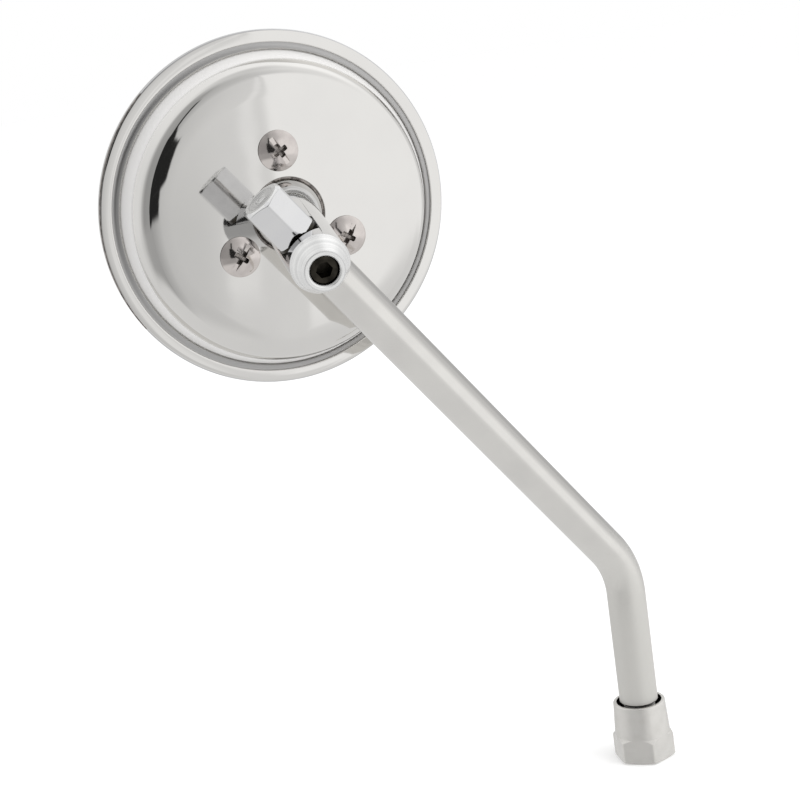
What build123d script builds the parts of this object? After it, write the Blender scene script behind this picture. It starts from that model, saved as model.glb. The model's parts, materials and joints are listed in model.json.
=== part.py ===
"""Round motorcycle mirror on a bent stem.

Millimetres, +Z up. The origin is the centre of the lock nut's lower face, the
lower stem stands on +Z and the arm leans to -X in the XZ plane. The glass looks
to +Y and the back of the shell to -Y.
"""

import os
from math import asin, cos, degrees, radians, sin, sqrt, tan

from build123d import *

# Fits
running_gap = 0.05
seat_gap = 0.1
bolt_gap = 0.25
edge_gap = 0.3

# Stem
rod_dia = 12.0
bend_angle = 38.0
bend_radius = 26.0
bend_height = 63.0
arm_length = 146.0
rod_edge = 0.8
thread_dia = 10.0
thread_start = 0.4
spigot_dia = 8.0

# Lock nut
lock_flats = 17.0
lock_height = 18.4
lock_hex_height = 8.0
lock_shoulder_drop = 2.2
lock_thread_depth = 8.0
lock_turn = 10.8
lock_foot_inset = 0.2
lock_foot_bevel = 0.8
lock_bore_edge = 0.6
collar_gap = 1.1
collar_wall = 1.0
collar_flare = 0.5
collar_edge = 0.3
rod_entry = 0.4

# Ball stud, measured along its axis from the axis of the arm
swivel_angle = -21.4
stud_dia = 16.6
nose_base = 11.3
nose_tip = 17.6
nose_dia = 11.2
nose_bore_edge = 0.45
ball_offset = 36.5
ball_dia = 17.0
neck_dia = 7.6
neck_length = 2.7
shoulder_round = 1.2
spot_face_depth = 1.0
nut_pocket_depth = 2.9
nut_pocket_gap = 1.3

# Grub screw
grub_dia = 8.0
grub_recess = 1.0
grub_edge = 0.4
grub_socket = 4.0
grub_socket_depth = 4.0

# Swivel nut and its spring washer
swivel_flats = 12.0
swivel_length = 13.7
swivel_thread_depth = 9.8
swivel_turn = 7.2
swivel_foot_bevel = 0.65
swivel_end_bevel = 0.85
swivel_end_inset = 0.7
swivel_corner_round = 0.8
spigot_clear = 0.6
washer_thickness = 1.6
washer_lip = 0.1
washer_split = 1.2
washer_split_lean = 25.0

# Ball joint, with the mouths and edges as angles from the head's axis
head_tilt_x = 9.8
head_tilt_y = 4.2
seat_thickness = 0.8
seat_mouth = 49.0
seat_floor = 160.0
socket_sheet = 1.2
socket_mouth = 46.5
socket_split = 5.0
clamp_gap = 1.4
clamp_rise = 0.1
clamp_rim = 6.35

# Head
sheet = 1.0
dome_radius = 800.0
knuckle_radius = 30.0
knuckle_width = 8.1
dome_edge_round = 5.0
wall_slope = 4.75
wall_base_round = 2.2
flange_width = 4.4
ring_dia = 104.8
ring_sheet = 0.8
ring_round = 0.7
ring_front_round = 3.2
lip_clear = 0.28
lip_grip = 0.8
gasket_thickness = 0.8
gasket_width = 2.6
glass_thickness = 2.0
glass_edge = 0.9
pad_thickness = 0.8
pad_gap = 2.84

# Clamp screws
screw_land = 1.85
screw_turn = -35.7
screw_dia = 5.0
screw_head_dia = 11.8
screw_head_height = 2.7
screw_head_edge = 0.4
screw_proud = 1.0
slot_width = 1.3
slot_depth = 1.2
cross_length = 6.4
cross_depth = 2.0
cross_taper = 12.0
slot_turns = (-153.8, 18.2, -96.3)
nut_flats = 8.0
nut_height = 4.0

# Radii and stations of the stem, the stud and their nuts
rod_r = rod_dia / 2
stud_r = stud_dia / 2
ball_r = ball_dia / 2
neck_r = neck_dia / 2
spigot_r = spigot_dia / 2
rod_shoulder = lock_height - rod_entry
collar_bore_r = rod_r + collar_gap
collar_r = collar_bore_r + collar_wall
collar_base_r = collar_r + collar_flare
lock_corner_r = lock_flats / sqrt(3) + edge_gap
spot_face = stud_r - spot_face_depth
nut_pocket = stud_r - nut_pocket_depth
nut_foot = nut_pocket + washer_thickness
nut_end = nut_foot + swivel_length
nut_corner_r = swivel_flats / sqrt(3) + edge_gap
nut_pocket_r = swivel_flats / sqrt(3) + nut_pocket_gap
washer_r = swivel_flats / 2 + washer_lip
spigot_end = nut_foot + swivel_thread_depth - spigot_clear
grub_bore_r = grub_dia / 2 + running_gap
grub_top = nose_tip - grub_recess
grub_tip = spigot_r + edge_gap

# Ball, seats and sockets are concentric
seat_in = ball_r + running_gap
seat_out = seat_in + seat_thickness
socket_in = seat_out + running_gap
socket_out = socket_in + socket_sheet
front_edge = 90 - socket_split
rear_edge = 90 + socket_split

# Sheets of the crowned back are concentric, and the clamp's gap lies level with the ball
crown_height = sheet + socket_sheet + clamp_gap / 2 + clamp_rise
dome_centre = crown_height - dome_radius
shell_under = dome_radius - sheet
dish_under = shell_under - socket_sheet
plate_top = dish_under - clamp_gap
plate_under = plate_top - socket_sheet

# Glass, ring and flange are stacked from the bottom of the socket towards the front
socket_depth = socket_out * cos(radians(180 - seat_floor))
glass_back = -socket_depth - pad_gap - pad_thickness
flange_under = glass_back + gasket_thickness
flange_top = flange_under + sheet
ring_back = flange_top + ring_sheet
glass_front = glass_back - glass_thickness
ring_front = glass_front - ring_sheet

# Radii of the head, from the ring inwards
ring_r = ring_dia / 2
ring_inner_r = ring_r - ring_sheet
curl_r = ring_front_round - ring_sheet
glass_r = ring_inner_r - curl_r - seat_gap + glass_edge
front_lip_r = ring_r - ring_front_round - lip_grip
flange_r = ring_inner_r - edge_gap
wall_base_r = flange_r - flange_width
dome_edge_r = wall_base_r - wall_slope
crown_r = dome_edge_r - knuckle_width
hole_r = socket_out + edge_gap
screw_r = hole_r + screw_land + screw_head_dia / 2
plate_r = screw_r + clamp_rim

# Knuckle rolls the crown down to the wall, tangent to the crown's sphere
knuckle_share = 1 - knuckle_radius / dome_radius
knuckle_r = crown_r * knuckle_share
knuckle_height = dome_centre + sqrt(dome_radius**2 - crown_r**2) * knuckle_share

# Shared planes: the arm's end, the stud, the ball and the head
arm_dir = Vector(-sin(radians(bend_angle)), 0, cos(radians(bend_angle)))
stud_centre = Vector(0, 0, bend_height) + arm_dir * arm_length
arm_axis = Axis(stud_centre, arm_dir)
stud_plane = Plane(Plane(stud_centre, x_dir=arm_dir, z_dir=(0, -1, 0)) * Rot(swivel_angle, 0, 0))
stud_section = Plane(stud_centre, x_dir=stud_plane.x_dir, z_dir=-stud_plane.y_dir)
stud_axis = Axis(stud_centre, stud_plane.z_dir)
spigot_plane = Plane(stud_centre, x_dir=stud_plane.z_dir, z_dir=arm_dir)
spigot_section = Plane(stud_centre, x_dir=spigot_plane.x_dir, z_dir=-spigot_plane.y_dir)
arm_side = Plane(stud_centre - arm_dir * stud_r, x_dir=stud_plane.z_dir, z_dir=-arm_dir)
head_plane = Plane(stud_plane.offset(-ball_offset) * Rot(head_tilt_x, head_tilt_y, 0))
head_section = Plane(head_plane.origin, x_dir=head_plane.x_dir, z_dir=-head_plane.y_dir)
head_axis = Axis(head_plane.origin, head_plane.z_dir)

# Screw seats lie tangent to the dome, so each screw stands square on the shell
dome_plane = head_plane.offset(dome_centre)
screw_lean = degrees(asin(screw_r / dome_radius))
screw_seats = [
    Plane(dome_plane * Rot(0, 0, screw_turn + 120 * i) * Rot(0, screw_lean, 0)).offset(dome_radius)
    for i in range(len(slot_turns))
]


def on_dome(radius, r):
    """Point at radius r of the head on a sphere about the dome's centre."""
    return (r, dome_centre + sqrt(radius**2 - r**2))


def on_knuckle(radius, r):
    """Point at radius r of the head on a circle about the knuckle's centre."""
    return (r, knuckle_height + sqrt(radius**2 - (r - knuckle_r) ** 2))


def on_ball(radius, angle):
    """Point of a sphere about the ball's centre, with the angle from the head's axis."""
    return (radius * sin(radians(angle)), radius * cos(radians(angle)))


def cup(inside, outside, start, end):
    """Closed outline of a part of a hollow ball between two angles."""
    middle = (start + end) / 2
    ThreePointArc(on_ball(inside, start), on_ball(inside, middle), on_ball(inside, end))
    Line(on_ball(inside, end), on_ball(outside, end))
    ThreePointArc(on_ball(outside, end), on_ball(outside, middle), on_ball(outside, start))
    Line(on_ball(outside, start), on_ball(inside, start))


def crowned_sheet(top, under, inner_r, outer_r):
    """Closed outline of a sheet that follows the dome between two radii."""
    middle = (inner_r + outer_r) / 2
    ThreePointArc(on_dome(top, inner_r), on_dome(top, middle), on_dome(top, outer_r))
    Line(on_dome(top, outer_r), on_dome(under, outer_r))
    ThreePointArc(on_dome(under, outer_r), on_dome(under, middle), on_dome(under, inner_r))
    Line(on_dome(under, inner_r), on_dome(top, inner_r))


# Stem: bent rod with a turned spigot at the top and a thread at the bottom
rod_reach = arm_length - spot_face
rod_end = (-rod_reach * sin(radians(bend_angle)), bend_height + rod_reach * cos(radians(bend_angle)))
with BuildPart() as stem:
    with BuildLine(Plane.XZ):
        FilletPolyline((0, rod_shoulder), (0, bend_height), rod_end, radius=bend_radius)
    with BuildSketch(Plane.XY.offset(rod_shoulder)):
        Circle(rod_r)
    sweep()
    rod_ends = edges().filter_by(GeomType.CIRCLE).sort_by(Axis.Z)
    chamfer([rod_ends[0], rod_ends[-1]], rod_edge)
    with BuildSketch(Plane.XY.offset(thread_start)):
        Circle(thread_dia / 2 - running_gap)
    extrude(amount=rod_shoulder - thread_start + rod_edge)
    chamfer(edges().filter_by(GeomType.CIRCLE).sort_by(Axis.Z)[0], rod_edge)
    with BuildSketch(spigot_plane.offset(-spot_face - rod_edge)):
        Circle(spigot_r)
    extrude(amount=rod_edge + spot_face + spigot_end)
    chamfer(edges().filter_by(GeomType.CIRCLE).sort_by(arm_axis)[-1], rod_edge)

# Lock nut: hexagon with a flared collar that covers the top of the thread
with BuildPart() as lock_nut:
    with BuildSketch():
        RegularPolygon(lock_flats / 2, 6, major_radius=False, rotation=lock_turn)
    extrude(amount=lock_hex_height)
    with BuildSketch(Plane.XZ):
        with BuildLine():
            Polyline(
                (0, 0),
                (lock_flats / 2 - lock_foot_inset, 0),
                (lock_corner_r, lock_foot_bevel),
                (lock_corner_r, lock_hex_height - lock_shoulder_drop),
                (collar_base_r, lock_hex_height),
                (0, lock_hex_height),
                close=True,
            )
        make_face()
    revolve(axis=Axis.Z, mode=Mode.INTERSECT)
    with BuildSketch(Plane.XY.offset(lock_hex_height)):
        Circle(collar_base_r)
    with BuildSketch(Plane.XY.offset(lock_height)):
        Circle(collar_r)
    loft()
    chamfer(edges().filter_by(GeomType.CIRCLE).sort_by(Axis.Z)[-1], collar_edge)
    with Locations(Plane.XY.offset(lock_height)):
        CounterBoreHole(thread_dia / 2, collar_bore_r, lock_height - lock_thread_depth)
    chamfer(edges().filter_by(GeomType.CIRCLE).group_by(Axis.Z)[0].sort_by(SortBy.RADIUS)[0], lock_bore_edge)

# Ball stud: turned in one piece, cross drilled for the spigot and bored from the nose
neck_foot = (neck_r, sqrt(ball_r**2 - neck_r**2) - ball_offset)
ball_pole = (0, -ball_offset - ball_r)
shoulder = ball_r + neck_length - ball_offset
with BuildPart() as ball_stud:
    with BuildSketch(stud_section):
        with BuildLine():
            ThreePointArc(ball_pole, (ball_r, -ball_offset), neck_foot)
            Polyline(
                neck_foot,
                (neck_r, shoulder),
                (stud_r, shoulder),
                (stud_r, nose_base),
                (nose_dia / 2, nose_tip),
                (0, nose_tip),
                ball_pole,
            )
        make_face()
        fillet(vertices().sort_by_distance((stud_r, shoulder))[0], shoulder_round)
    revolve(axis=stud_axis)
    with Locations(spigot_plane.offset(stud_r)):
        CounterBoreHole(spigot_r + running_gap, nut_pocket_r, nut_pocket_depth)
    with Locations(arm_side):
        Hole(rod_r + edge_gap, spot_face_depth)
    with Locations(stud_plane.offset(nose_tip)):
        CounterSinkHole(grub_bore_r, grub_bore_r + nose_bore_edge, nose_tip, 90)

# Grub screw: bears on the spigot and locks the swivel
with BuildPart() as grub_screw:
    with BuildSketch(stud_plane.offset(grub_tip)):
        Circle(grub_dia / 2)
    extrude(amount=grub_top - grub_tip)
    chamfer(edges().filter_by(GeomType.CIRCLE), grub_edge)
    with BuildSketch(stud_plane.offset(grub_top)):
        RegularPolygon(grub_socket / 2, 6, major_radius=False)
    extrude(amount=-grub_socket_depth, mode=Mode.SUBTRACT)

# Spring washer: split ring under the swivel nut
washer_side = Plane(spigot_plane.offset(nut_pocket).origin, x_dir=arm_dir, z_dir=spigot_plane.x_dir)
with BuildPart() as spring_washer:
    with BuildSketch(spigot_plane.offset(nut_pocket)):
        Circle(washer_r)
        Circle(spigot_r + bolt_gap, mode=Mode.SUBTRACT)
    extrude(amount=washer_thickness)
    with BuildSketch(washer_side):
        with Locations((washer_thickness / 2, 0)):
            Rectangle(2 * washer_thickness, washer_split, rotation=washer_split_lean)
    extrude(amount=2 * washer_r, mode=Mode.SUBTRACT)

# Swivel nut: long closed hexagon, turned on the end
with BuildPart() as swivel_nut:
    with BuildSketch(spigot_plane.offset(nut_foot)):
        RegularPolygon(swivel_flats / 2, 6, major_radius=False, rotation=swivel_turn)
        fillet(vertices(), swivel_corner_round)
    extrude(amount=swivel_length)
    with BuildSketch(spigot_section):
        with BuildLine():
            Polyline(
                (0, nut_foot),
                (swivel_flats / 2, nut_foot),
                (nut_corner_r, nut_foot + swivel_foot_bevel),
                (nut_corner_r, nut_end - swivel_end_bevel),
                (swivel_flats / 2 - swivel_end_inset, nut_end),
                (0, nut_end),
                close=True,
            )
        make_face()
    revolve(axis=arm_axis, mode=Mode.INTERSECT)
    with BuildSketch(spigot_plane.offset(nut_foot)):
        Circle(spigot_r + running_gap)
    extrude(amount=swivel_thread_depth, mode=Mode.SUBTRACT)

# Front ball seat: thin cup between the ball and the dish
with BuildPart() as ball_seat_front:
    with BuildSketch(head_section):
        with BuildLine():
            cup(seat_in, seat_out, seat_mouth, front_edge)
        make_face()
    revolve(axis=head_axis)

# Rear ball seat: the same cup below the ball's middle
with BuildPart() as ball_seat_rear:
    with BuildSketch(head_section):
        with BuildLine():
            cup(seat_in, seat_out, rear_edge, seat_floor)
        make_face()
    revolve(axis=head_axis)

# Socket dish: cup that looks out of the shell, with a flange under the shell
flange_root = (socket_in + socket_out) / 2
with BuildPart() as socket_dish:
    with BuildSketch(head_section):
        with BuildLine():
            cup(socket_in, socket_out, socket_mouth, front_edge)
        make_face()
        with BuildLine():
            crowned_sheet(shell_under, dish_under, flange_root, plate_r)
        make_face()
    revolve(axis=head_axis)
    with Locations(*screw_seats):
        Hole(screw_dia / 2 + bolt_gap)

# Clamp plate: inner half of the socket
with BuildPart() as clamp_plate:
    with BuildSketch(head_section):
        with BuildLine():
            cup(socket_in, socket_out, rear_edge, seat_floor)
        make_face()
        with BuildLine():
            crowned_sheet(plate_top, plate_under, flange_root, plate_r)
        make_face()
    revolve(axis=head_axis)
    with Locations(*screw_seats):
        Hole(screw_dia / 2 + bolt_gap)

# Back shell: pressed pan with a nearly flat crown, a rolled knuckle, a sloping wall and a flat edge
dome_edge = on_knuckle(knuckle_radius, dome_edge_r)
wall_lean = wall_slope / (dome_edge[1] - flange_top)
wall_inset = sheet * (sqrt(1 + wall_lean**2) - wall_lean)
knuckle_under = knuckle_radius - sheet
inner_edge_r = dome_edge_r - wall_inset
inner_edge = on_knuckle(knuckle_under, inner_edge_r)
inner_crown_r = crown_r * shell_under / dome_radius
inner_base_r = wall_base_r - wall_inset
shell_rounds = {
    dome_edge: dome_edge_round,
    inner_edge: dome_edge_round - sheet,
    (wall_base_r, flange_top): wall_base_round,
    (inner_base_r, flange_under): wall_base_round + sheet,
}
with BuildPart() as back_shell:
    with BuildSketch(head_section):
        with BuildLine():
            crown_mid_r = (hole_r + crown_r) / 2
            crown_end = on_dome(dome_radius, crown_r)
            inner_end = on_dome(shell_under, inner_crown_r)
            knuckle_mid = on_knuckle(knuckle_radius, (crown_r + dome_edge_r) / 2)
            inner_mid = on_knuckle(knuckle_under, (inner_crown_r + inner_edge_r) / 2)
            ThreePointArc(on_dome(dome_radius, hole_r), on_dome(dome_radius, crown_mid_r), crown_end)
            ThreePointArc(crown_end, knuckle_mid, dome_edge)
            Polyline(
                dome_edge,
                (wall_base_r, flange_top),
                (flange_r, flange_top),
                (flange_r, flange_under),
                (inner_base_r, flange_under),
                inner_edge,
            )
            ThreePointArc(inner_edge, inner_mid, inner_end)
            ThreePointArc(inner_end, on_dome(shell_under, crown_mid_r), on_dome(shell_under, hole_r))
            Line(on_dome(shell_under, hole_r), on_dome(dome_radius, hole_r))
        make_face()
        for corner, corner_round in shell_rounds.items():
            fillet(vertices().sort_by_distance(corner)[0], corner_round)
    revolve(axis=head_axis)
    with Locations(*screw_seats):
        Hole(screw_dia / 2 + bolt_gap)

# Clamp nuts: their corners bear on the hollow underside of the clamp plate
nut_sag = plate_under - sqrt(plate_under**2 - nut_flats**2 / 3)
nut_seat = dome_radius - plate_under + nut_sag
with BuildPart() as clamp_nuts:
    with BuildSketch(*[seat.offset(-nut_seat) for seat in screw_seats]):
        RegularPolygon(nut_flats / 2, 6, major_radius=False, rotation=30)
        Circle(screw_dia / 2 + running_gap, mode=Mode.SUBTRACT)
    extrude(amount=-nut_height)

# Clamp screws: truss heads with a slot across a cross recess
screw_length = nut_seat + nut_height + screw_proud
head_cap = screw_head_height - screw_head_edge
cap_radius = ((screw_head_dia / 2) ** 2 + head_cap**2) / (2 * head_cap)
cap_mid_r = screw_head_dia / 4
cap_mid = (cap_mid_r, screw_head_height - cap_radius + sqrt(cap_radius**2 - cap_mid_r**2))
with BuildPart() as clamp_screws:
    for seat, slot_turn in zip(screw_seats, slot_turns):
        with BuildSketch(Plane(seat.origin, x_dir=seat.x_dir, z_dir=-seat.y_dir)):
            with BuildLine():
                ThreePointArc((0, screw_head_height), cap_mid, (screw_head_dia / 2, screw_head_edge))
                Polyline(
                    (screw_head_dia / 2, screw_head_edge),
                    (screw_head_dia / 2, 0),
                    (screw_dia / 2, 0),
                    (screw_dia / 2, -screw_length),
                    (0, -screw_length),
                    (0, screw_head_height),
                )
            make_face()
        revolve(axis=Axis(seat.origin, seat.z_dir))
        recess = Plane(seat.offset(screw_head_height) * Rot(0, 0, slot_turn))
        with BuildSketch(recess):
            Rectangle(screw_head_dia, slot_width)
        extrude(amount=-slot_depth, mode=Mode.SUBTRACT)
        with BuildSketch(recess):
            Rectangle(cross_length, slot_width)
            Rectangle(slot_width, cross_length)
        extrude(amount=-cross_depth, taper=cross_taper, mode=Mode.SUBTRACT)

# Rim ring: rolled channel round the shell's edge and the glass
wall_turn = radians(90) - asin(wall_lean / sqrt(1 + wall_lean**2))
back_lip_r = wall_base_r + wall_base_round * tan(wall_turn / 2) + lip_clear
ring_rounds = {
    (ring_r, ring_back): ring_round,
    (ring_r, ring_front): ring_front_round,
    (ring_inner_r, glass_front): curl_r,
}
with BuildPart() as rim_ring:
    with BuildSketch(head_section):
        with BuildLine():
            Polyline(
                (back_lip_r, ring_back),
                (ring_r, ring_back),
                (ring_r, ring_front),
                (front_lip_r, ring_front),
                (front_lip_r, glass_front),
                (ring_inner_r, glass_front),
                (ring_inner_r, flange_top),
                (back_lip_r, flange_top),
                close=True,
            )
        make_face()
        for corner, corner_round in ring_rounds.items():
            fillet(vertices().sort_by_distance(corner)[0], corner_round)
    revolve(axis=head_axis)

# Glass gasket: rubber ring between the shell's edge and the glass
with BuildPart() as glass_gasket:
    with BuildSketch(head_plane.offset(glass_back)):
        Circle(glass_r)
        Circle(glass_r - gasket_width, mode=Mode.SUBTRACT)
    extrude(amount=gasket_thickness)

# Mirror glass: flat disc with a ground front edge that sits in the curl of the ring
with BuildPart() as mirror_glass:
    with BuildSketch(head_plane.offset(glass_back)):
        Circle(glass_r)
    extrude(amount=-glass_thickness)
    chamfer(edges().filter_by(GeomType.CIRCLE).sort_by(head_axis)[0], glass_edge)

# Backing pad: stuck to the back of the glass inside the gasket
with BuildPart() as backing_pad:
    with BuildSketch(head_plane.offset(glass_back)):
        Circle(glass_r - gasket_width - edge_gap)
    extrude(amount=pad_thickness)

pieces = {
    "stem": stem,
    "lock_nut": lock_nut,
    "ball_stud": ball_stud,
    "grub_screw": grub_screw,
    "spring_washer": spring_washer,
    "swivel_nut": swivel_nut,
    "ball_seat_front": ball_seat_front,
    "ball_seat_rear": ball_seat_rear,
    "socket_dish": socket_dish,
    "clamp_plate": clamp_plate,
    "back_shell": back_shell,
    "clamp_screws": clamp_screws,
    "clamp_nuts": clamp_nuts,
    "rim_ring": rim_ring,
    "glass_gasket": glass_gasket,
    "mirror_glass": mirror_glass,
    "backing_pad": backing_pad,
}
os.makedirs("parts", exist_ok=True)
for label, piece in pieces.items():
    piece.part.label = label
    export_step(piece.part, f"parts/{label}.step")
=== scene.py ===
"""Dressed scene of a round motorcycle mirror on a bent stem.

Metres, +Z up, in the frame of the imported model: the origin is the centre of the
lock nut's lower face, the arm leans to -X and the shell's back looks to -Y.
Sizes of the pieces are in millimetres, as on a drawing.
"""

import json
import logging
import math
from collections.abc import Callable
from dataclasses import dataclass
from enum import Enum

import bmesh
import bpy
from mathutils import Euler, Matrix, Vector


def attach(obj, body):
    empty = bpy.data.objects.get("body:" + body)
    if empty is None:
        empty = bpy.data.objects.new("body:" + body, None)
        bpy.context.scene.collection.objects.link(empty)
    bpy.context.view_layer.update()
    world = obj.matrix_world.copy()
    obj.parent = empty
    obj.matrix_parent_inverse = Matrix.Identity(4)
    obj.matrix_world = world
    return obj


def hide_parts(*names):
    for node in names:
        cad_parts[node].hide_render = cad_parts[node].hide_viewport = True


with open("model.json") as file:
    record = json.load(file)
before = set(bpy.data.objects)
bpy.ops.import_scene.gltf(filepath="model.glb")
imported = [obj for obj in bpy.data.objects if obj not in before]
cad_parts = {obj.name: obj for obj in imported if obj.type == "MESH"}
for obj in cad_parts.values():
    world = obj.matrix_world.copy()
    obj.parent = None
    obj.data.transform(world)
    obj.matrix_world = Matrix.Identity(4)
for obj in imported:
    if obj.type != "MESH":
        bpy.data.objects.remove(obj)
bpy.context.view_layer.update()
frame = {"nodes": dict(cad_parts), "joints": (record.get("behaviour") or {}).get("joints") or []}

Triple = tuple[float, float, float]
Colour = Triple
Coat = bpy.types.Material
Pair = tuple[float, float]
Shape = bmesh.types.BMesh
Socket = bpy.types.NodeSocket
Stops = tuple[Pair, ...]
Term = Socket | float
Thing = bpy.types.Object

LOG = logging.getLogger("mirror")
MM = 0.001
ORIGIN = (0.0, 0.0, 0.0)
ACROSS = (0.0, 1.0, 0.0)
UP = (0.0, 0.0, 1.0)
DRAWN_LINES = "drawn"

# Faces round large, plain and small turned shapes.
RIM_STEPS, ROUND_STEPS, SMALL_STEPS, PIN_STEPS = 256, 128, 96, 64
# How far tools go past the faces that they cut, and limits past the faces that they leave alone.
OVER, CLEAR = 1.0, 0.3
# Least number of chords in a rounded corner, and the angle that each takes in a large one.
LEAST_CHORDS, CHORD_DEGREES = 4, 8
# Rounding of a driver recess's corners, as a share of its width.
WEDGE_ROUND = 0.24


class Grain(Enum):
    """Direction in which a finish was worked."""

    EVEN = "even"
    TURNED = "turned"
    DRAWN = "drawn"


class Cut(Enum):
    """What is left of a solid where a second one meets it."""

    SHARED = "INTERSECT"
    AWAY = "DIFFERENCE"
    JOINED = "UNION"


@dataclass(frozen=True)
class Place:
    """Right-handed frame of a sub-assembly.

    Attributes:
        origin: Its origin, in metres.
        x: Direction of its x axis.
        z: Direction of its z axis, square to x.
    """

    origin: Vector
    x: Vector
    z: Vector

    def rows(self) -> tuple[Vector, Vector, Vector]:
        """Gives the directions of the three axes."""
        return self.x, self.z.cross(self.x), self.z

    def matrix(self) -> Matrix:
        """Gives the matrix from the frame's millimetres to the scene."""
        turn = Matrix(self.rows()).transposed().to_4x4()
        return Matrix.Translation(self.origin) @ turn @ Matrix.Scale(MM, 4)


def joint_facts(name: str) -> tuple[Vector, Vector]:
    """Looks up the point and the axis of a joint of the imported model."""
    joint = next(each for each in frame["joints"] if each["name"] == name)
    return Vector(joint["pos_m"]), Vector(joint["axis"]).normalized()


BALL, HEAD_OUT = joint_facts("head_spin")
PIVOT, ARM_DIR = joint_facts("stud_swivel")
HEAD_ACROSS = joint_facts("head_tilt_along")[1]
STUD_OUT = (PIVOT - BALL).normalized()
HEAD_PLACE = Place(BALL, HEAD_ACROSS.cross(HEAD_OUT).normalized(), HEAD_OUT)
STUD_PLACE = Place(PIVOT, ARM_DIR, STUD_OUT)
ARM_PLACE = Place(PIVOT, STUD_OUT, ARM_DIR)
STEM_PLACE = Place(Vector(ORIGIN), Vector((1.0, 0.0, 0.0)), Vector(UP))


class Tree:
    """Node tree that is filled node by node."""

    def __init__(self, owner: Coat | bpy.types.World) -> None:
        """Starts the empty tree of a material or a world.

        Args:
            owner: The material or world.
        """
        owner.use_nodes = True
        self.nodes = owner.node_tree.nodes
        self.links = owner.node_tree.links
        self.nodes.clear()

    def put(self, node: bpy.types.Node, terms: dict[str | int, object]) -> bpy.types.Node:
        """Sets or feeds the inputs of a node.

        Args:
            node: The node.
            terms: Values or sockets, by the input's name or number.

        Returns:
            The same node.
        """
        for key, term in terms.items():
            if isinstance(term, Socket):
                self.links.new(term, node.inputs[key])
            else:
                node.inputs[key].default_value = term
        return node

    def add(self, kind: str, **terms: object) -> bpy.types.Node:
        """Adds a node of a kind, named without its prefix, with _ for each space in its inputs' names."""
        node = self.nodes.new("ShaderNode" + kind)
        return self.put(node, {name.replace("_", " "): term for name, term in terms.items()})

    def maths(self, operation: str, *terms: Term) -> Socket:
        """Adds a sum or another operation on numbers.

        Args:
            operation: The operation's name in Blender.
            *terms: Numbers or sockets.

        Returns:
            The result's socket.
        """
        node = self.add("Math")
        node.operation = operation
        return self.put(node, dict(enumerate(terms))).outputs[0]

    def vector(
        self, operation: str, first: Socket, second: Triple | Vector, result: str = "Vector"
    ) -> Socket:
        """Adds an operation on a vector.

        Args:
            operation: The operation's name in Blender.
            first: Socket of the vector.
            second: The second vector.
            result: Name of the output that is wanted.

        Returns:
            The result's socket.
        """
        node = self.add("VectorMath")
        node.operation = operation
        return self.put(node, {0: first, 1: second}).outputs[result]

    def noise(self, where: Socket, size: float, detail: float) -> Socket:
        """Adds noise about a half, of a scale and a depth of detail."""
        return self.add("TexNoise", Vector=where, Scale=size, Detail=detail).outputs["Fac"]

    def shaken(self, value: Socket, noise: Socket, reach: float) -> Socket:
        """Shifts a value to and fro by noise about a half."""
        shift = self.maths("MULTIPLY", self.maths("SUBTRACT", noise, 0.5), reach)
        return self.maths("ADD", value, shift)

    def between(self, value: Socket, start: float, end: float) -> Socket:
        """Rises softly from 0 to 1 as a value goes from start to end.

        Args:
            value: The value's socket.
            start: Where the rise starts.
            end: Where it ends.

        Returns:
            The result's socket.
        """
        node = self.add("MapRange", Value=value, From_Min=start, From_Max=end)
        node.interpolation_type = "SMOOTHSTEP"
        return node.outputs["Result"]

    def zone(self, value: Socket, ends: Pair, soft: float) -> Socket:
        """Gives 1 where a value lies between two soft ends and 0 outside."""
        rise = self.between(value, ends[0] - soft, ends[0] + soft)
        return self.maths("MULTIPLY", rise, self.between(value, ends[1] + soft, ends[1] - soft))

    def mixed(self, share: Term, first: Term, second: Term) -> Socket:
        """Mixes two numbers, by the share of the second."""
        return self.put(self.add("Mix"), {0: share, 2: first, 3: second}).outputs[0]

    def tinted(self, share: Socket, first: Socket, second: Colour) -> Socket:
        """Mixes two colours.

        Args:
            share: Socket of the second colour's share.
            first: Socket of the first colour.
            second: The second colour.

        Returns:
            The result's socket.
        """
        node = self.add("Mix")
        node.data_type = "RGBA"
        return self.put(node, {0: share, 6: first, 7: (*second, 1.0)}).outputs[2]

    def ramp(self, value: Socket, *stops: tuple[float, Colour]) -> Socket:
        """Gives each value its colour.

        Args:
            value: The value's socket.
            *stops: Values from 0 to 1 with their colours, in order.

        Returns:
            The colour's socket.
        """
        node = self.add("ValToRGB", Fac=value)
        marks = node.color_ramp.elements
        marks.remove(marks[1])
        for index, (position, colour) in enumerate(stops):
            mark = marks.new(position) if index else marks[0]
            mark.position = position
            mark.color = (*colour, 1.0)
        return node.outputs["Color"]


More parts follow.
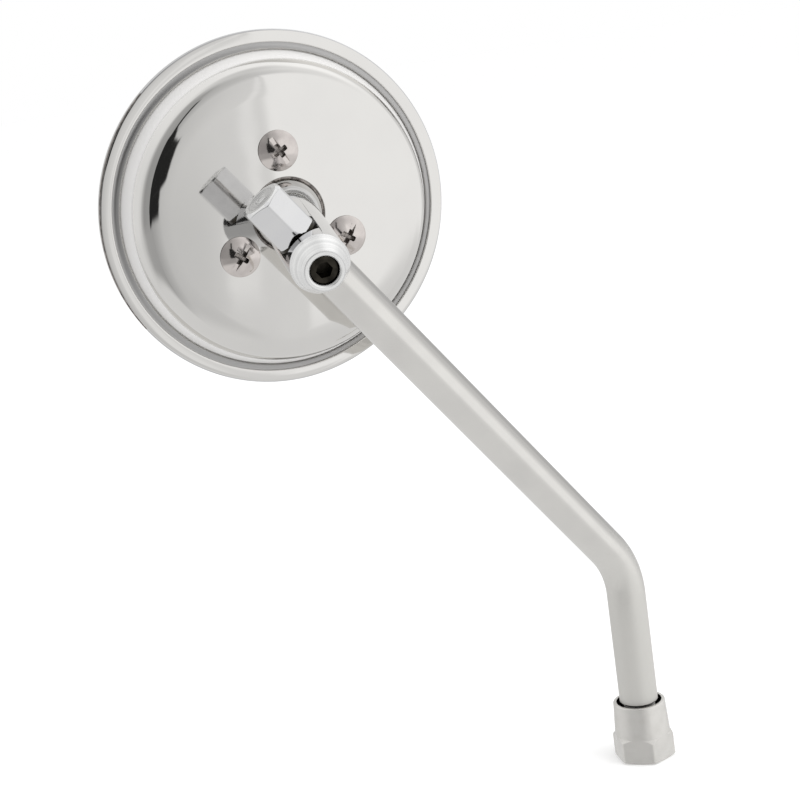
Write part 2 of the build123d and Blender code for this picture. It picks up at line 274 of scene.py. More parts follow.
class CoatTree(Tree):
    """Node tree of a piece's material."""

    def __init__(self, name: str, place: Place | None = None) -> None:
        """Starts a new material.

        Args:
            name: Name of the material.
            place: Frame of the piece, if the finish goes by it.
        """
        self.material = bpy.data.materials.new(name)
        super().__init__(self.material)
        self.place = place
        self.spot = self.add("TexCoord").outputs["Object"]

    def about_axis(self) -> tuple[Socket, Socket]:
        """Measures a point from the z axis of the piece's frame.

        Returns:
            Sockets of the distance from the axis and of the height along it.
        """
        away = self.vector("SUBTRACT", self.spot, self.place.origin)
        x, y, height = (self.vector("DOT_PRODUCT", away, row, "Value") for row in self.place.rows())
        squares = (self.maths("MULTIPLY", part, part) for part in (x, y))
        return self.maths("SQRT", self.maths("ADD", *squares)), height

    def drawn(self) -> Socket:
        """Reads where a point was on the rod before it was bent.

        Returns:
            Socket of the point on the straight rod.
        """
        lines = self.add("Attribute")
        lines.attribute_name = DRAWN_LINES
        return lines.outputs["Vector"]

    def bumped(self, height: Socket, depth: float, **under: Socket) -> Socket:
        """Gives the normal of a bump, over the bump under it if there is one."""
        return self.add("Bump", Height=height, Strength=1.0, Distance=depth, **under).outputs["Normal"]

    def finished(self, **terms: Term) -> Coat:
        """Closes the material with a shader.

        Args:
            **terms: Values or sockets of the shader's inputs, with _ for each space.

        Returns:
            The material.
        """
        shader = self.add("BsdfPrincipled", **terms)
        self.add("OutputMaterial", Surface=shader.outputs["BSDF"])
        return self.material


@dataclass(frozen=True)
class Plating:
    """Bright metal finish with haze, polishing waves and working marks.

    Attributes:
        name: Material name.
        colour: Reflection colour where the plate is clean.
        shade: Reflection colour where the plate is thin or dull.
        roughness: Lowest and highest roughness over the surface.
        wave: Height of the waves left by polishing, in metres.
        wave_size: Waves to the metre.
        haze_size: Patches of haze to the metre.
        grain: Direction of the working marks.
        mark: Depth of the working marks, in metres.
        mark_size: Working marks to the metre.
        matt: Share of matt scatter in the plate.
        tone_span: Values of the haze between which the colour changes.
        gloss_span: Values of the haze between which the roughness changes.
        draw_stretch: Scale of drawn marks along the rod.
    """

    name: str
    colour: Colour
    shade: Colour
    roughness: Pair
    wave: float
    wave_size: float
    haze_size: float
    grain: Grain = Grain.EVEN
    mark: float = 0.0
    mark_size: float = 1000.0
    matt: float = 0.0
    tone_span: Pair = (0.3, 0.62)
    gloss_span: Pair = (0.3, 0.7)
    draw_stretch: float = 0.02

    def material(self, place: Place | None = None) -> Coat:
        """Builds the node tree of the finish.

        Args:
            place: Frame whose z axis the turned marks go round.

        Returns:
            The new material.
        """
        tree = CoatTree(self.name, place)
        flow = self.marked(tree) if self.grain is Grain.TURNED else tree.spot
        haze = tree.noise(flow, self.haze_size, detail=5.0)
        tone = tree.ramp(haze, *zip(self.tone_span, (self.shade, self.colour)))
        (dull, clean), (low, high) = self.gloss_span, self.roughness
        gloss = tree.add("MapRange", Value=haze, From_Min=dull, From_Max=clean, To_Min=high, To_Max=low)
        normal = tree.bumped(tree.noise(tree.spot, self.wave_size, detail=2.0), self.wave)
        if self.mark:
            marks = tree.noise(self.marked(tree), self.mark_size, detail=1.5)
            normal = tree.bumped(marks, self.mark, Normal=normal)
        return tree.finished(Normal=normal, **self.worn(tree, tone, gloss.outputs["Result"]))

    def worn(self, tree: CoatTree, tone: Socket, gloss: Socket) -> dict[str, Term]:
        """Gives the shader's inputs from the plate's tone and gloss, here the same all over."""
        return {"Base_Color": tone, "Roughness": gloss, "Metallic": 1.0 - self.matt}

    def marked(self, tree: CoatTree) -> Socket:
        """Stretches the texture's space along the working marks.

        Args:
            tree: The material's tree.

        Returns:
            Socket of the stretched coordinates.
        """
        if self.grain is Grain.DRAWN:
            return tree.vector("MULTIPLY", tree.drawn(), (1.0, 1.0, self.draw_stretch))
        radius, height = tree.about_axis()
        return tree.add("CombineXYZ", X=radius, Y=height).outputs["Vector"]


@dataclass(frozen=True)
class PanPlating(Plating):
    """Plating of a pressed pan, hazy on the wall, with painted shade in the seam round it.

    Attributes:
        wall: Radii of the hazy wall, in metres.
        wall_colour: Colour of the haze.
        wall_rough: Roughness of the haze.
        wall_metal: Share of bright metal under the haze.
        shaded_seam: Radii of the seam that takes the painted shade, in metres.
        seam_shade_colour: Colour of the seam, a painted shade for the shadow of the ring's lip on the flange.
        seam_rough: Roughness of the seam.
        soft: Softness of the edges of wall and seam, in metres.
    """

    wall: Pair = (0.0441, 0.0464)
    wall_colour: Colour = (0.9, 0.89, 0.88)
    wall_rough: float = 0.4
    wall_metal: float = 0.15
    shaded_seam: Pair = (0.0468, 0.06)
    seam_shade_colour: Colour = (0.53, 0.525, 0.52)
    seam_rough: float = 0.33
    soft: Pair = (0.0004, 0.0003)

    def worn(self, tree: CoatTree, tone: Socket, gloss: Socket) -> dict[str, Term]:
        """Sets the plate's shader by the distance from the pan's axis.

        Args:
            tree: The material's tree.
            tone: Socket of the plate's colour.
            gloss: Socket of the plate's roughness.

        Returns:
            Values and sockets of the shader's inputs.
        """
        radius = tree.about_axis()[0]
        wall = tree.zone(radius, self.wall, self.soft[0])
        shaded_seam = tree.zone(radius, self.shaded_seam, self.soft[1])
        return {
            # The seam's colour is painted shade, where the ring's lip shadows the flange.
            "Base_Color": tree.tinted(shaded_seam, tree.tinted(wall, tone, self.wall_colour), self.seam_shade_colour),
            "Roughness": tree.mixed(shaded_seam, tree.mixed(wall, gloss, self.wall_rough), self.seam_rough),
            "Metallic": tree.mixed(wall, 1.0, self.wall_metal),
        }


@dataclass(frozen=True)
class RodPlating(Plating):
    """Plating of a bent rod, dull below the bend, with painted shade along one side of the arm.

    Attributes:
        foot_colour: Colour below the bend.
        foot_rough: Roughness below the bend.
        foot_metal: Share of bright metal below the bend.
        bend: Heights on the straight rod between which the dull end fades out, in metres.
        side: Direction of the side that takes the painted shade, square to the straight rod.
        side_reach: Where the painted shade starts and where it is full, in metres from the rod's axis.
        side_shade_colour: Colour of the painted shade along that side.
        speck: How far fine specks scatter the fade of the dull end, in metres.
        speck_size: Specks to the metre.
    """

    foot_colour: Colour = (0.62, 0.61, 0.58)
    foot_rough: float = 0.4
    foot_metal: float = 0.25
    bend: Pair = (0.05, 0.075)
    side: Triple = (0.9, -0.43, 0.0)
    side_reach: Pair = (0.0035, 0.0051)
    side_shade_colour: Colour = (0.51, 0.5, 0.485)
    speck: float = 0.06
    speck_size: float = 15000.0

    def worn(self, tree: CoatTree, tone: Socket, gloss: Socket) -> dict[str, Term]:
        """Sets the plate's shader by the place on the straight rod.

        Args:
            tree: The material's tree.
            tone: Socket of the plate's colour.
            gloss: Socket of the plate's roughness.

        Returns:
            Values and sockets of the shader's inputs.
        """
        point = tree.drawn()
        height = tree.add("SeparateXYZ", Vector=point).outputs["Z"]
        specks = tree.noise(tree.spot, self.speck_size, detail=0.0)
        arm = tree.between(tree.shaken(height, specks, self.speck), *self.bend)
        # Painted shade: one side of the arm is darkened, as the light falls less on it.
        side = tree.vector("DOT_PRODUCT", point, self.side, "Value")
        painted_side_shade = tree.maths("MULTIPLY", arm, tree.between(side, *self.side_reach))
        foot = tree.maths("SUBTRACT", 1.0, arm)
        return {
            "Base_Color": tree.tinted(painted_side_shade, tree.tinted(foot, tone, self.foot_colour), self.side_shade_colour),
            "Roughness": tree.mixed(foot, gloss, self.foot_rough),
            "Metallic": tree.mixed(foot, 1.0, self.foot_metal),
        }


@dataclass(frozen=True)
class Matt:
    """Dull moulded or foamed finish.

    Attributes:
        name: Material name.
        colour: Main colour.
        shade: Colour in the pores and worn places.
        roughness: Roughness of the whole surface.
        pore: Depth of the pores, in metres.
        pore_size: Pores to the metre.
        tone_span: Values of the pores' noise between which the colour changes.
    """

    name: str
    colour: Colour
    shade: Colour
    roughness: float
    pore: float
    pore_size: float
    tone_span: Pair = (0.35, 0.65)

    def material(self) -> Coat:
        """Builds the node tree of the finish.

        Returns:
            The new material.
        """
        tree = CoatTree(self.name)
        pores = tree.noise(tree.spot, self.pore_size, detail=6.0)
        tone = tree.ramp(pores, *zip(self.tone_span, (self.shade, self.colour)))
        return tree.finished(Base_Color=tone, Normal=tree.bumped(pores, self.pore), Roughness=self.roughness)


CHROME = Plating("chrome", (0.81, 0.798, 0.775), (0.79, 0.778, 0.758), (0.03, 0.06), 1.5e-6, 260.0, 60.0)
PAN_CHROME = PanPlating("pan_chrome", CHROME.colour, CHROME.shade, (0.03, 0.06), 2e-6, 130.0, 60.0)
CAST_CHROME = Plating(
    "cast_chrome", (0.75, 0.735, 0.705), (0.69, 0.675, 0.645), (0.16, 0.26), 6e-6, 320.0, 220.0, matt=0.4
)
TURNED_CHROME = Plating(
    "turned_chrome", (0.8, 0.8, 0.8), (0.77, 0.77, 0.78), (0.05, 0.1), 1.5e-6, 400.0, 150.0,
    Grain.TURNED, 7e-6, 2200.0,
)
SATIN = RodPlating(
    "satin_chrome", (0.8, 0.785, 0.755), (0.76, 0.745, 0.72), (0.09, 0.14), 2e-6, 300.0, 90.0,
    Grain.DRAWN, 1e-6, 2500.0,
)
NICKEL = Plating("nickel", (0.74, 0.69, 0.66), (0.64, 0.59, 0.57), (0.08, 0.16), 3e-6, 700.0, 300.0)
ZINC = Plating("zinc_plate", (0.52, 0.53, 0.54), (0.4, 0.41, 0.43), (0.25, 0.4), 4e-6, 900.0, 200.0)
FACED = Plating(
    "faced_chrome", (0.91, 0.91, 0.9), (0.66, 0.66, 0.66), (0.14, 0.2), 2e-6, 500.0, 2200.0,
    Grain.TURNED, 3e-5, 900.0, 0.35,
)
# Dulled plate, on the ring's dulled edge and as painted shade on the back of the long nut.
DULLED = Plating("dulled_chrome", (0.66, 0.66, 0.67), (0.62, 0.62, 0.63), (0.12, 0.18), 2e-6, 500.0, 250.0)
CUP_CHROME = Plating(
    "cup_chrome", (0.64, 0.635, 0.625), (0.56, 0.555, 0.55), (0.06, 0.12), 2e-6, 400.0, 150.0
)
# Dark plate: painted shade in the screws' recesses, a painted shadow round their heads and painted shade on
# the dish under the shell; also a darker patch on the ring's edge.
DARK_NICKEL = Plating("dark_nickel", (0.36, 0.33, 0.31), (0.1, 0.09, 0.085), (0.12, 0.25), 4e-6, 900.0, 700.0)
BLACK_OXIDE = Plating(
    "black_oxide", (0.05, 0.045, 0.036), (0.02, 0.018, 0.015), (0.25, 0.4), 5e-6, 900.0, 400.0
)
SILVERING = Plating("silvered_glass", (0.86, 0.88, 0.875), (0.84, 0.86, 0.855), (0.0, 0.01), 1e-7, 40.0, 20.0)
RUBBER = Matt("rubber", (0.045, 0.045, 0.045), (0.025, 0.025, 0.025), 0.75, 2e-5, 900.0)
NYLON = Matt("nylon", (0.8, 0.79, 0.74), (0.72, 0.71, 0.66), 0.5, 8e-6, 700.0)
FOAM = Matt("foam_tape", (0.2, 0.2, 0.21), (0.1, 0.1, 0.11), 0.9, 6e-5, 1200.0)

NODE_FINISHES = {
    CHROME: ("stem", "ball_stud", "swivel_nut", "socket_dish", "back_shell", "rim_ring"),
    CAST_CHROME: ("lock_nut",),
    BLACK_OXIDE: ("grub_screw", "spring_washer"),
    NYLON: ("ball_seat_front", "ball_seat_rear"),
    ZINC: ("clamp_plate", "clamp_nuts"),
    NICKEL: ("clamp_screws",),
    RUBBER: ("glass_gasket",),
    SILVERING: ("mirror_glass",),
    FOAM: ("backing_pad",),
}


class Section:
    """Half section of a turned piece, drawn in radius and height and then spun."""

    def __init__(self, r: float, h: float) -> None:
        """Starts the outline at a radius and a height."""
        self.shape = bmesh.new()
        self.tip = self.shape.verts.new((r, 0.0, h))

    def line(self, r: float, h: float) -> None:
        """Draws a straight line to a radius and a height."""
        self.tip = bmesh.ops.extrude_vert_indiv(self.shape, verts=[self.tip])["verts"][0]
        self.tip.co = (r, 0.0, h)

    def arc(self, r: float, h: float, turn: float, steps: int) -> None:
        """Draws an arc from the last point.

        Args:
            r: Radius of the arc's centre.
            h: Height of the arc's centre.
            turn: Angle of the arc, positive from up to outward.
            steps: Number of chords.
        """
        made = bmesh.ops.spin(
            self.shape, geom=[self.tip], cent=(r, 0.0, h), axis=ACROSS, angle=turn, steps=steps
        )
        self.tip = next(each for each in made["geom_last"] if isinstance(each, bmesh.types.BMVert))

    def path(self, *corners: tuple[float, ...]) -> "Section":
        """Draws straight lines with corners, some of them rounded.

        Args:
            *corners: Radius and height of each corner, and its rounding if it has one.

        Returns:
            The same section.
        """
        for index, (r, h, *rounding) in enumerate(corners):
            if not rounding:
                self.line(r, h)
                continue
            here = Vector((r, h))
            back = (Vector((self.tip.co.x, self.tip.co.z)) - here).normalized()
            ahead = (Vector(corners[index + 1][:2]) - here).normalized()
            half = back.angle(ahead) / 2
            turn = math.pi - 2 * half
            centre = here + (back + ahead).normalized() * rounding[0] / math.sin(half)
            sense = 1 if back.x * ahead.y - back.y * ahead.x > 0 else -1
            self.line(*(here + back * rounding[0] / math.tan(half)))
            self.arc(*centre, sense * turn, max(LEAST_CHORDS, round(math.degrees(turn) / CHORD_DEGREES)))
        return self

    def spun(self, steps: int = ROUND_STEPS) -> Shape:
        """Spins the section about its axis.

        Args:
            steps: Number of faces round the axis.

        Returns:
            The turned shape.
        """
        outline = self.shape.verts[:] + self.shape.edges[:]
        whole = {"angle": 2 * math.pi, "steps": steps, "use_merge": True}
        bmesh.ops.spin(self.shape, geom=outline, cent=ORIGIN, axis=UP, **whole)
        bmesh.ops.remove_doubles(self.shape, verts=self.shape.verts, dist=1e-4)
        bmesh.ops.recalc_face_normals(self.shape, faces=self.shape.faces)
        return self.shape


def polar(radius: float, angle: float) -> Pair:
    """Gives the radius and height of a point at an angle from the axis."""
    return radius * math.sin(angle), radius * math.cos(angle)


def rod_shape(radius: float, low: float, high: float, steps: int = ROUND_STEPS) -> Shape:
    """Makes a plain round bar on the z axis, from a low to a high end."""
    return Section(0.0, low).path((radius, low), (radius, high), (0.0, high)).spun(steps)


def hexagon_shape(flats: float, low: float, high: float, turn: float, rounding: float) -> Shape:
    """Makes a hexagon bar with rounded corners.

    Args:
        flats: Width across the flats.
        low: Height of its lower end.
        high: Height of its upper end.
        turn: Angle of a corner from the x axis, in degrees.
        rounding: Radius of the corners.

    Returns:
        The shape, on the z axis.
    """
    shape = bmesh.new()
    corners = bmesh.ops.create_circle(shape, segments=6, radius=flats / math.sqrt(3), cap_ends=True)["verts"]
    spin = Matrix.Rotation(math.radians(turn - 30), 4, "Z")
    bmesh.ops.transform(shape, matrix=Matrix.Translation((0.0, 0.0, low)) @ spin, verts=corners)
    reach = rounding * math.tan(math.radians(30))
    bmesh.ops.bevel(
        shape, geom=corners, offset=reach, segments=8, profile=0.5, affect="VERTICES", material=-1
    )
    made = bmesh.ops.extrude_face_region(shape, geom=shape.faces[:])["geom"]
    top = [each for each in made if isinstance(each, bmesh.types.BMVert)]
    bmesh.ops.translate(shape, vec=(0.0, 0.0, high - low), verts=top)
    bmesh.ops.recalc_face_normals(shape, faces=shape.faces)
    return shape


def wedge_shape(length: float, width: float, depth: float, taper: float, turn: float) -> Shape:
    """Makes the tool for one arm of a driver recess, narrowing downwards.

    Args:
        length: Length of the arm at the top.
        width: Width of the arm at the top.
        depth: Depth below the top at z = 0.
        taper: Narrowing of each end on the way down.
        turn: Angle of the arm from the x axis, in degrees.

    Returns:
        The shape.
    """
    shape = bmesh.new()
    verts = bmesh.ops.create_cube(shape, size=1.0)["verts"]
    bmesh.ops.scale(shape, vec=(length, width, 2 * depth), verts=verts)
    foot = [vert for vert in verts if vert.co.z < 0]
    bmesh.ops.scale(shape, vec=(1 - 2 * taper / length, 1 - taper / width, 1.0), verts=foot)
    upright = [edge for edge in shape.edges if abs(edge.verts[0].co.z - edge.verts[1].co.z) > depth]
    bevel = {"offset": WEDGE_ROUND * width, "segments": 4, "profile": 0.5, "affect": "EDGES", "material": -1}
    bmesh.ops.bevel(shape, geom=upright, **bevel)
    spin = Matrix.Rotation(math.radians(turn), 3, "Z")
    bmesh.ops.rotate(shape, cent=ORIGIN, matrix=spin, verts=shape.verts)
    bmesh.ops.recalc_face_normals(shape, faces=shape.faces)
    return shape


def linked(name: str, data: bpy.types.ID) -> Thing:
    """Puts a new object with a mesh, a light or a camera in the scene.

    Args:
        name: Name of the object.
        data: The mesh, light or camera.

    Returns:
        The object.
    """
    thing = bpy.data.objects.new(name, data)
    bpy.context.scene.collection.objects.link(thing)
    return thing


class Piece:
    """Piece in the making, in the millimetres of its own frame."""

    def __init__(self, name: str, shape: Shape, coat: Coat) -> None:
        """Starts the piece from a shape.

        Args:
            name: Name of the object.
            shape: The shape, which is used up.
            coat: Material of the piece.
        """
        self.coat = coat
        self.thing = linked(name, bpy.data.meshes.new(name))
        self.thing.data.materials.append(coat)
        self.take(shape)

    def take(self, shape: Shape) -> None:
        """Takes a shape, which is used up, as the mesh."""
        shape.to_mesh(self.thing.data)
        shape.free()

    def drop(self) -> None:
        """Removes the piece's object and its mesh."""
        mesh = self.thing.data
        bpy.data.objects.remove(self.thing)
        bpy.data.meshes.remove(mesh)

    def settle(self) -> None:
        """Takes the modifiers' result as the mesh."""
        graph = bpy.context.evaluated_depsgraph_get()
        old = self.thing.data
        fresh = bpy.data.meshes.new_from_object(self.thing.evaluated_get(graph))
        self.thing.modifiers.clear()
        self.thing.data = fresh
        fresh.name = self.thing.name
        bpy.data.meshes.remove(old)

    def join(self, *others: "Piece") -> "Piece":
        """Takes in other pieces where they stand.

        Args:
            *others: The other pieces, which are used up.

        Returns:
            The same piece.
        """
        shape = bmesh.new()
        for each in (self, *others):
            shape.from_mesh(each.thing.data)
        self.take(shape)
        for each in others:
            each.drop()
        return self

    def cut(self, how: Cut, *shapes: Shape, lining: Coat | None = None) -> "Piece":
        """Meets the piece with other shapes.

        Args:
            how: What is left.
            *shapes: The other shapes, which are used up.
            lining: Material of the cut faces, if it isn't the piece's own.

        Returns:
            The same piece.
        """
        for shape in shapes:
            tool = Piece("tool", shape, lining or self.coat)
            modifier = self.thing.modifiers.new("cut", "BOOLEAN")
            modifier.operation = how.value
            modifier.solver = "EXACT"
            modifier.material_mode = "TRANSFER"
            modifier.object = tool.thing
            self.settle()
            tool.drop()
        return self

    def tint(self, coat: Coat, chosen: Callable[[Vector], bool]) -> "Piece":
        """Gives some of the faces another material.

        Args:
            coat: The other material.
            chosen: Tells from a face's centre whether the face takes it.

        Returns:
            The same piece.
        """
        coats = self.thing.data.materials
        if coat.name not in coats:
            coats.append(coat)
        index = coats.find(coat.name)
        for face in self.thing.data.polygons:
            if chosen(face.center):
                face.material_index = index
        return self

    def soften(self, width: float, angle: float = 30.0) -> "Piece":
        """Makes close corners one and rounds the sharp edges.

        Args:
            width: Width of the rounding.
            angle: Least angle of a sharp edge, in degrees.

        Returns:
            The same piece.
        """
        shape = bmesh.new()
        shape.from_mesh(self.thing.data)
        bmesh.ops.remove_doubles(shape, verts=shape.verts, dist=0.004)
        self.take(shape)
        modifier = self.thing.modifiers.new("edges", "BEVEL")
        modifier.width = width
        modifier.segments = 3
        modifier.limit_method = "ANGLE"
        modifier.angle_limit = math.radians(angle)
        modifier.use_clamp_overlap = False
        self.settle()
        return self

    def place(self, place: Place, slot: str, body: str, node: str, sharp: float = 180.0) -> Thing:
        """Puts the piece in the scene in place of its CAD node.

        Args:
            place: Frame of the piece.
            slot: Material slot of the record; not used.
            body: Body that it rides on.
            node: CAD node that it stands for.
            sharp: Least angle of an edge that stays sharp, in degrees.

        Returns:
            The piece's object.
        """
        self.thing.data.shade_smooth()
        self.thing.data.set_sharp_from_angle(angle=math.radians(sharp))
        modifier = self.thing.modifiers.new("normals", "WEIGHTED_NORMAL")
        modifier.weight = 100
        modifier.keep_sharp = True
        self.settle()
        self.thing.data.transform(place.matrix())
        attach(self.thing, body)
        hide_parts(node)
        return self.thing


@dataclass
class Stem:
    """Bent round rod with its threaded foot.

    Attributes:
        rod_r: Radius of the rod.
        bend: Angle of the bend, in degrees.
        bend_r: Radius of the bend.
        bend_steps: Rings of faces round the bend.
        bend_height: Height where the two axes meet.
        reach: Length of the arm from there to the rod's upper end.
        foot: Height of the rod's lower shoulder.
        edge: Size of the rod's end chamfers.
        thread_r: Radius of the foot's thread.
        pitch: Pitch of that thread.
        tooth: Depth of the thread, as a share of the pitch.
        flank: Ends of the tooth's lower flank, as shares of the pitch.
        turn_steps: Faces round one turn of the thread.
        thread_foot: Height of the thread's lower end.
        thread_edge: Size of the thread's lower chamfer, across and along.
        spare: Room round the thread, and how far it and its winding go on inside the rod.
        spigot_r: Radius of the spigot at the upper end.
        spigot: Length of the spigot.
    """

    rod_r: float = 6.0
    bend: float = 38.0
    bend_r: float = 26.0
    bend_steps: int = 64
    bend_height: float = 63.0
    reach: float = 138.7
    foot: float = 18.0
    edge: float = 0.8
    thread_r: float = 4.95
    pitch: float = 1.25
    tooth: float = 0.6
    flank: Pair = (0.12, 0.44)
    turn_steps: int = 48
    thread_foot: float = 0.4
    thread_edge: Pair = (0.9, 1.0)
    spare: Triple = (0.1, 0.4, 0.5)
    spigot_r: float = 4.0
    spigot: float = 23.5

    def __post_init__(self) -> None:
        """Works out the bend's angle, the arm's direction and the height at which the bend starts."""
        self.angle = math.radians(self.bend)
        self.arm = Vector((-math.sin(self.angle), 0.0, math.cos(self.angle)))
        self.bend_foot = self.bend_height - self.bend_r * math.tan(self.angle / 2)

    def straightened(self, point: Vector) -> Vector:
        """Finds where a point of the rod was before the rod was bent.

        Args:
            point: The point on the bent rod.

        Returns:
            The point on the straight rod.
        """
        rise = point.z - self.bend_foot
        if rise <= 0:
            return point.copy()
        angle = min(math.atan2(rise, point.x + self.bend_r), self.angle)
        arm = Vector((point.x + self.bend_r, 0.0, rise))
        arm.rotate(Euler((0.0, angle, 0.0)))
        return Vector((arm.x - self.bend_r, point.y, self.bend_foot + self.bend_r * angle + arm.z))

    def rod(self) -> Shape:
        """Draws the rod up, round the bend and along the arm.

        Returns:
            The rod's shape.
        """
        shape = bmesh.new()
        slim, up = self.rod_r - self.edge, Vector(UP)
        bmesh.ops.create_circle(shape, segments=ROUND_STEPS, radius=slim, cap_ends=True)
        bmesh.ops.translate(shape, vec=up * self.foot, verts=shape.verts)
        ring = self.grown(shape, shape.faces[:], up * self.edge, self.rod_r / slim)
        ring = self.grown(shape, ring, up * (self.bend_foot - self.foot - self.edge), 1.0)
        pivot = (-self.bend_r, 0.0, self.bend_foot)
        made = bmesh.ops.spin(
            shape, geom=ring, cent=pivot, axis=ACROSS, angle=-self.angle, steps=self.bend_steps
        )
        bmesh.ops.delete(shape, geom=ring, context="FACES_KEEP_BOUNDARY")
        ring = [each for each in made["geom_last"] if isinstance(each, bmesh.types.BMFace)]
        run = self.reach - self.bend_r * math.tan(self.angle / 2)
        ring = self.grown(shape, ring, self.arm * (run - self.edge), 1.0)
        self.grown(shape, ring, self.arm * self.edge, slim / self.rod_r)
        bmesh.ops.recalc_face_normals(shape, faces=shape.faces)
        return shape

    def grown(self, shape: Shape, ring: list, step: Vector, scale: float) -> list:
        """Extrudes the rod's end.

        Args:
            shape: The rod so far.
            ring: The end's face.
            step: How far the end moves.
            scale: Growth of the end's radius.

        Returns:
            The new end's face.
        """
        made = bmesh.ops.extrude_face_region(shape, geom=ring)["geom"]
        inner = [face for face in ring if len(face.edges[0].link_faces) > 2]
        bmesh.ops.delete(shape, geom=inner, context="FACES_KEEP_BOUNDARY")
        faces = [each for each in made if isinstance(each, bmesh.types.BMFace)]
        verts = faces[0].verts[:]
        bmesh.ops.translate(shape, vec=step, verts=verts)
        middle = faces[0].calc_center_median()
        bmesh.ops.scale(shape, vec=(scale,) * 3, space=Matrix.Translation(-middle), verts=verts)
        return faces

    def thread(self) -> Shape:
        """Winds the foot's thread.

        Returns:
            The thread's shape, cut level at both ends.
        """
        shape = bmesh.new()
        crest, root = self.thread_r, self.thread_r - self.tooth * self.pitch
        low, high = self.flank
        tooth = ((root, 0.0), (root, low), (crest, high), (crest, 1 - high), (root, 1 - low), (root, 1.0))
        points = [shape.verts.new((r, 0.0, (share - 2) * self.pitch)) for r, share in tooth]
        sides = [shape.edges.new(pair) for pair in zip(points, points[1:])]
        turns = math.ceil((self.foot - self.thread_foot) / self.pitch) + 4
        bmesh.ops.spin(
            shape,
            geom=points + sides,
            cent=ORIGIN,
            axis=UP,
            dvec=(0.0, 0.0, self.pitch / self.turn_steps),
            angle=2 * math.pi * turns,
            steps=self.turn_steps * turns,
        )
        bmesh.ops.remove_doubles(shape, verts=shape.verts, dist=1e-3)
        for height, upward in ((self.thread_foot, -1.0), (self.foot + self.spare[2], 1.0)):
            bmesh.ops.bisect_plane(
                shape,
                geom=shape.verts[:] + shape.edges[:] + shape.faces[:],
                plane_co=(0.0, 0.0, height),
                plane_no=(0.0, 0.0, upward),
                clear_outer=True,
            )
        bmesh.ops.holes_fill(shape, edges=[edge for edge in shape.edges if edge.is_boundary])
        bmesh.ops.recalc_face_normals(shape, faces=shape.faces)
        return shape

    def build(self) -> Thing:
        """Builds the stem as one piece.

        Returns:
            The stem's object.
        """
        coat = SATIN.material()
        piece = Piece("bent_stem", self.rod(), coat)
        inset, rise = self.thread_edge
        wide, top = self.thread_r + self.spare[0], self.foot + self.spare[1]
        limit = Section(0.0, self.thread_foot).path(
            (self.thread_r - inset, self.thread_foot),
            (wide, self.thread_foot + rise),
            (wide, top),
            (0.0, top),
        )
        thread = Piece("thread", self.thread(), coat).cut(Cut.SHARED, limit.spun())
        tip = Piece("spigot", rod_shape(self.spigot_r, 0.0, self.spigot, PIN_STEPS), coat)
        end = self.arm * (self.reach - self.edge) + Vector(UP) * self.bend_height
        tip.thing.data.transform(Matrix.Translation(end) @ Matrix.Rotation(-self.angle, 4, "Y"))
        piece.join(thread, tip)
        low, high = self.foot - self.spare[0], self.foot + self.edge
        # The rod's shoulder at the top of the thread is painted black: painted shade in the gap under the
        # nut's collar.
        piece.tint(BLACK_OXIDE.material(), lambda spot: low < spot.z < high)
        stem = piece.place(STEM_PLACE, "satin_chrome", "stem", "stem")
        lines = stem.data.attributes.new(DRAWN_LINES, "FLOAT_VECTOR", "POINT")
        for vert, line in zip(stem.data.vertices, lines.data):
            line.vector = self.straightened(vert.co / MM) * MM
        return stem


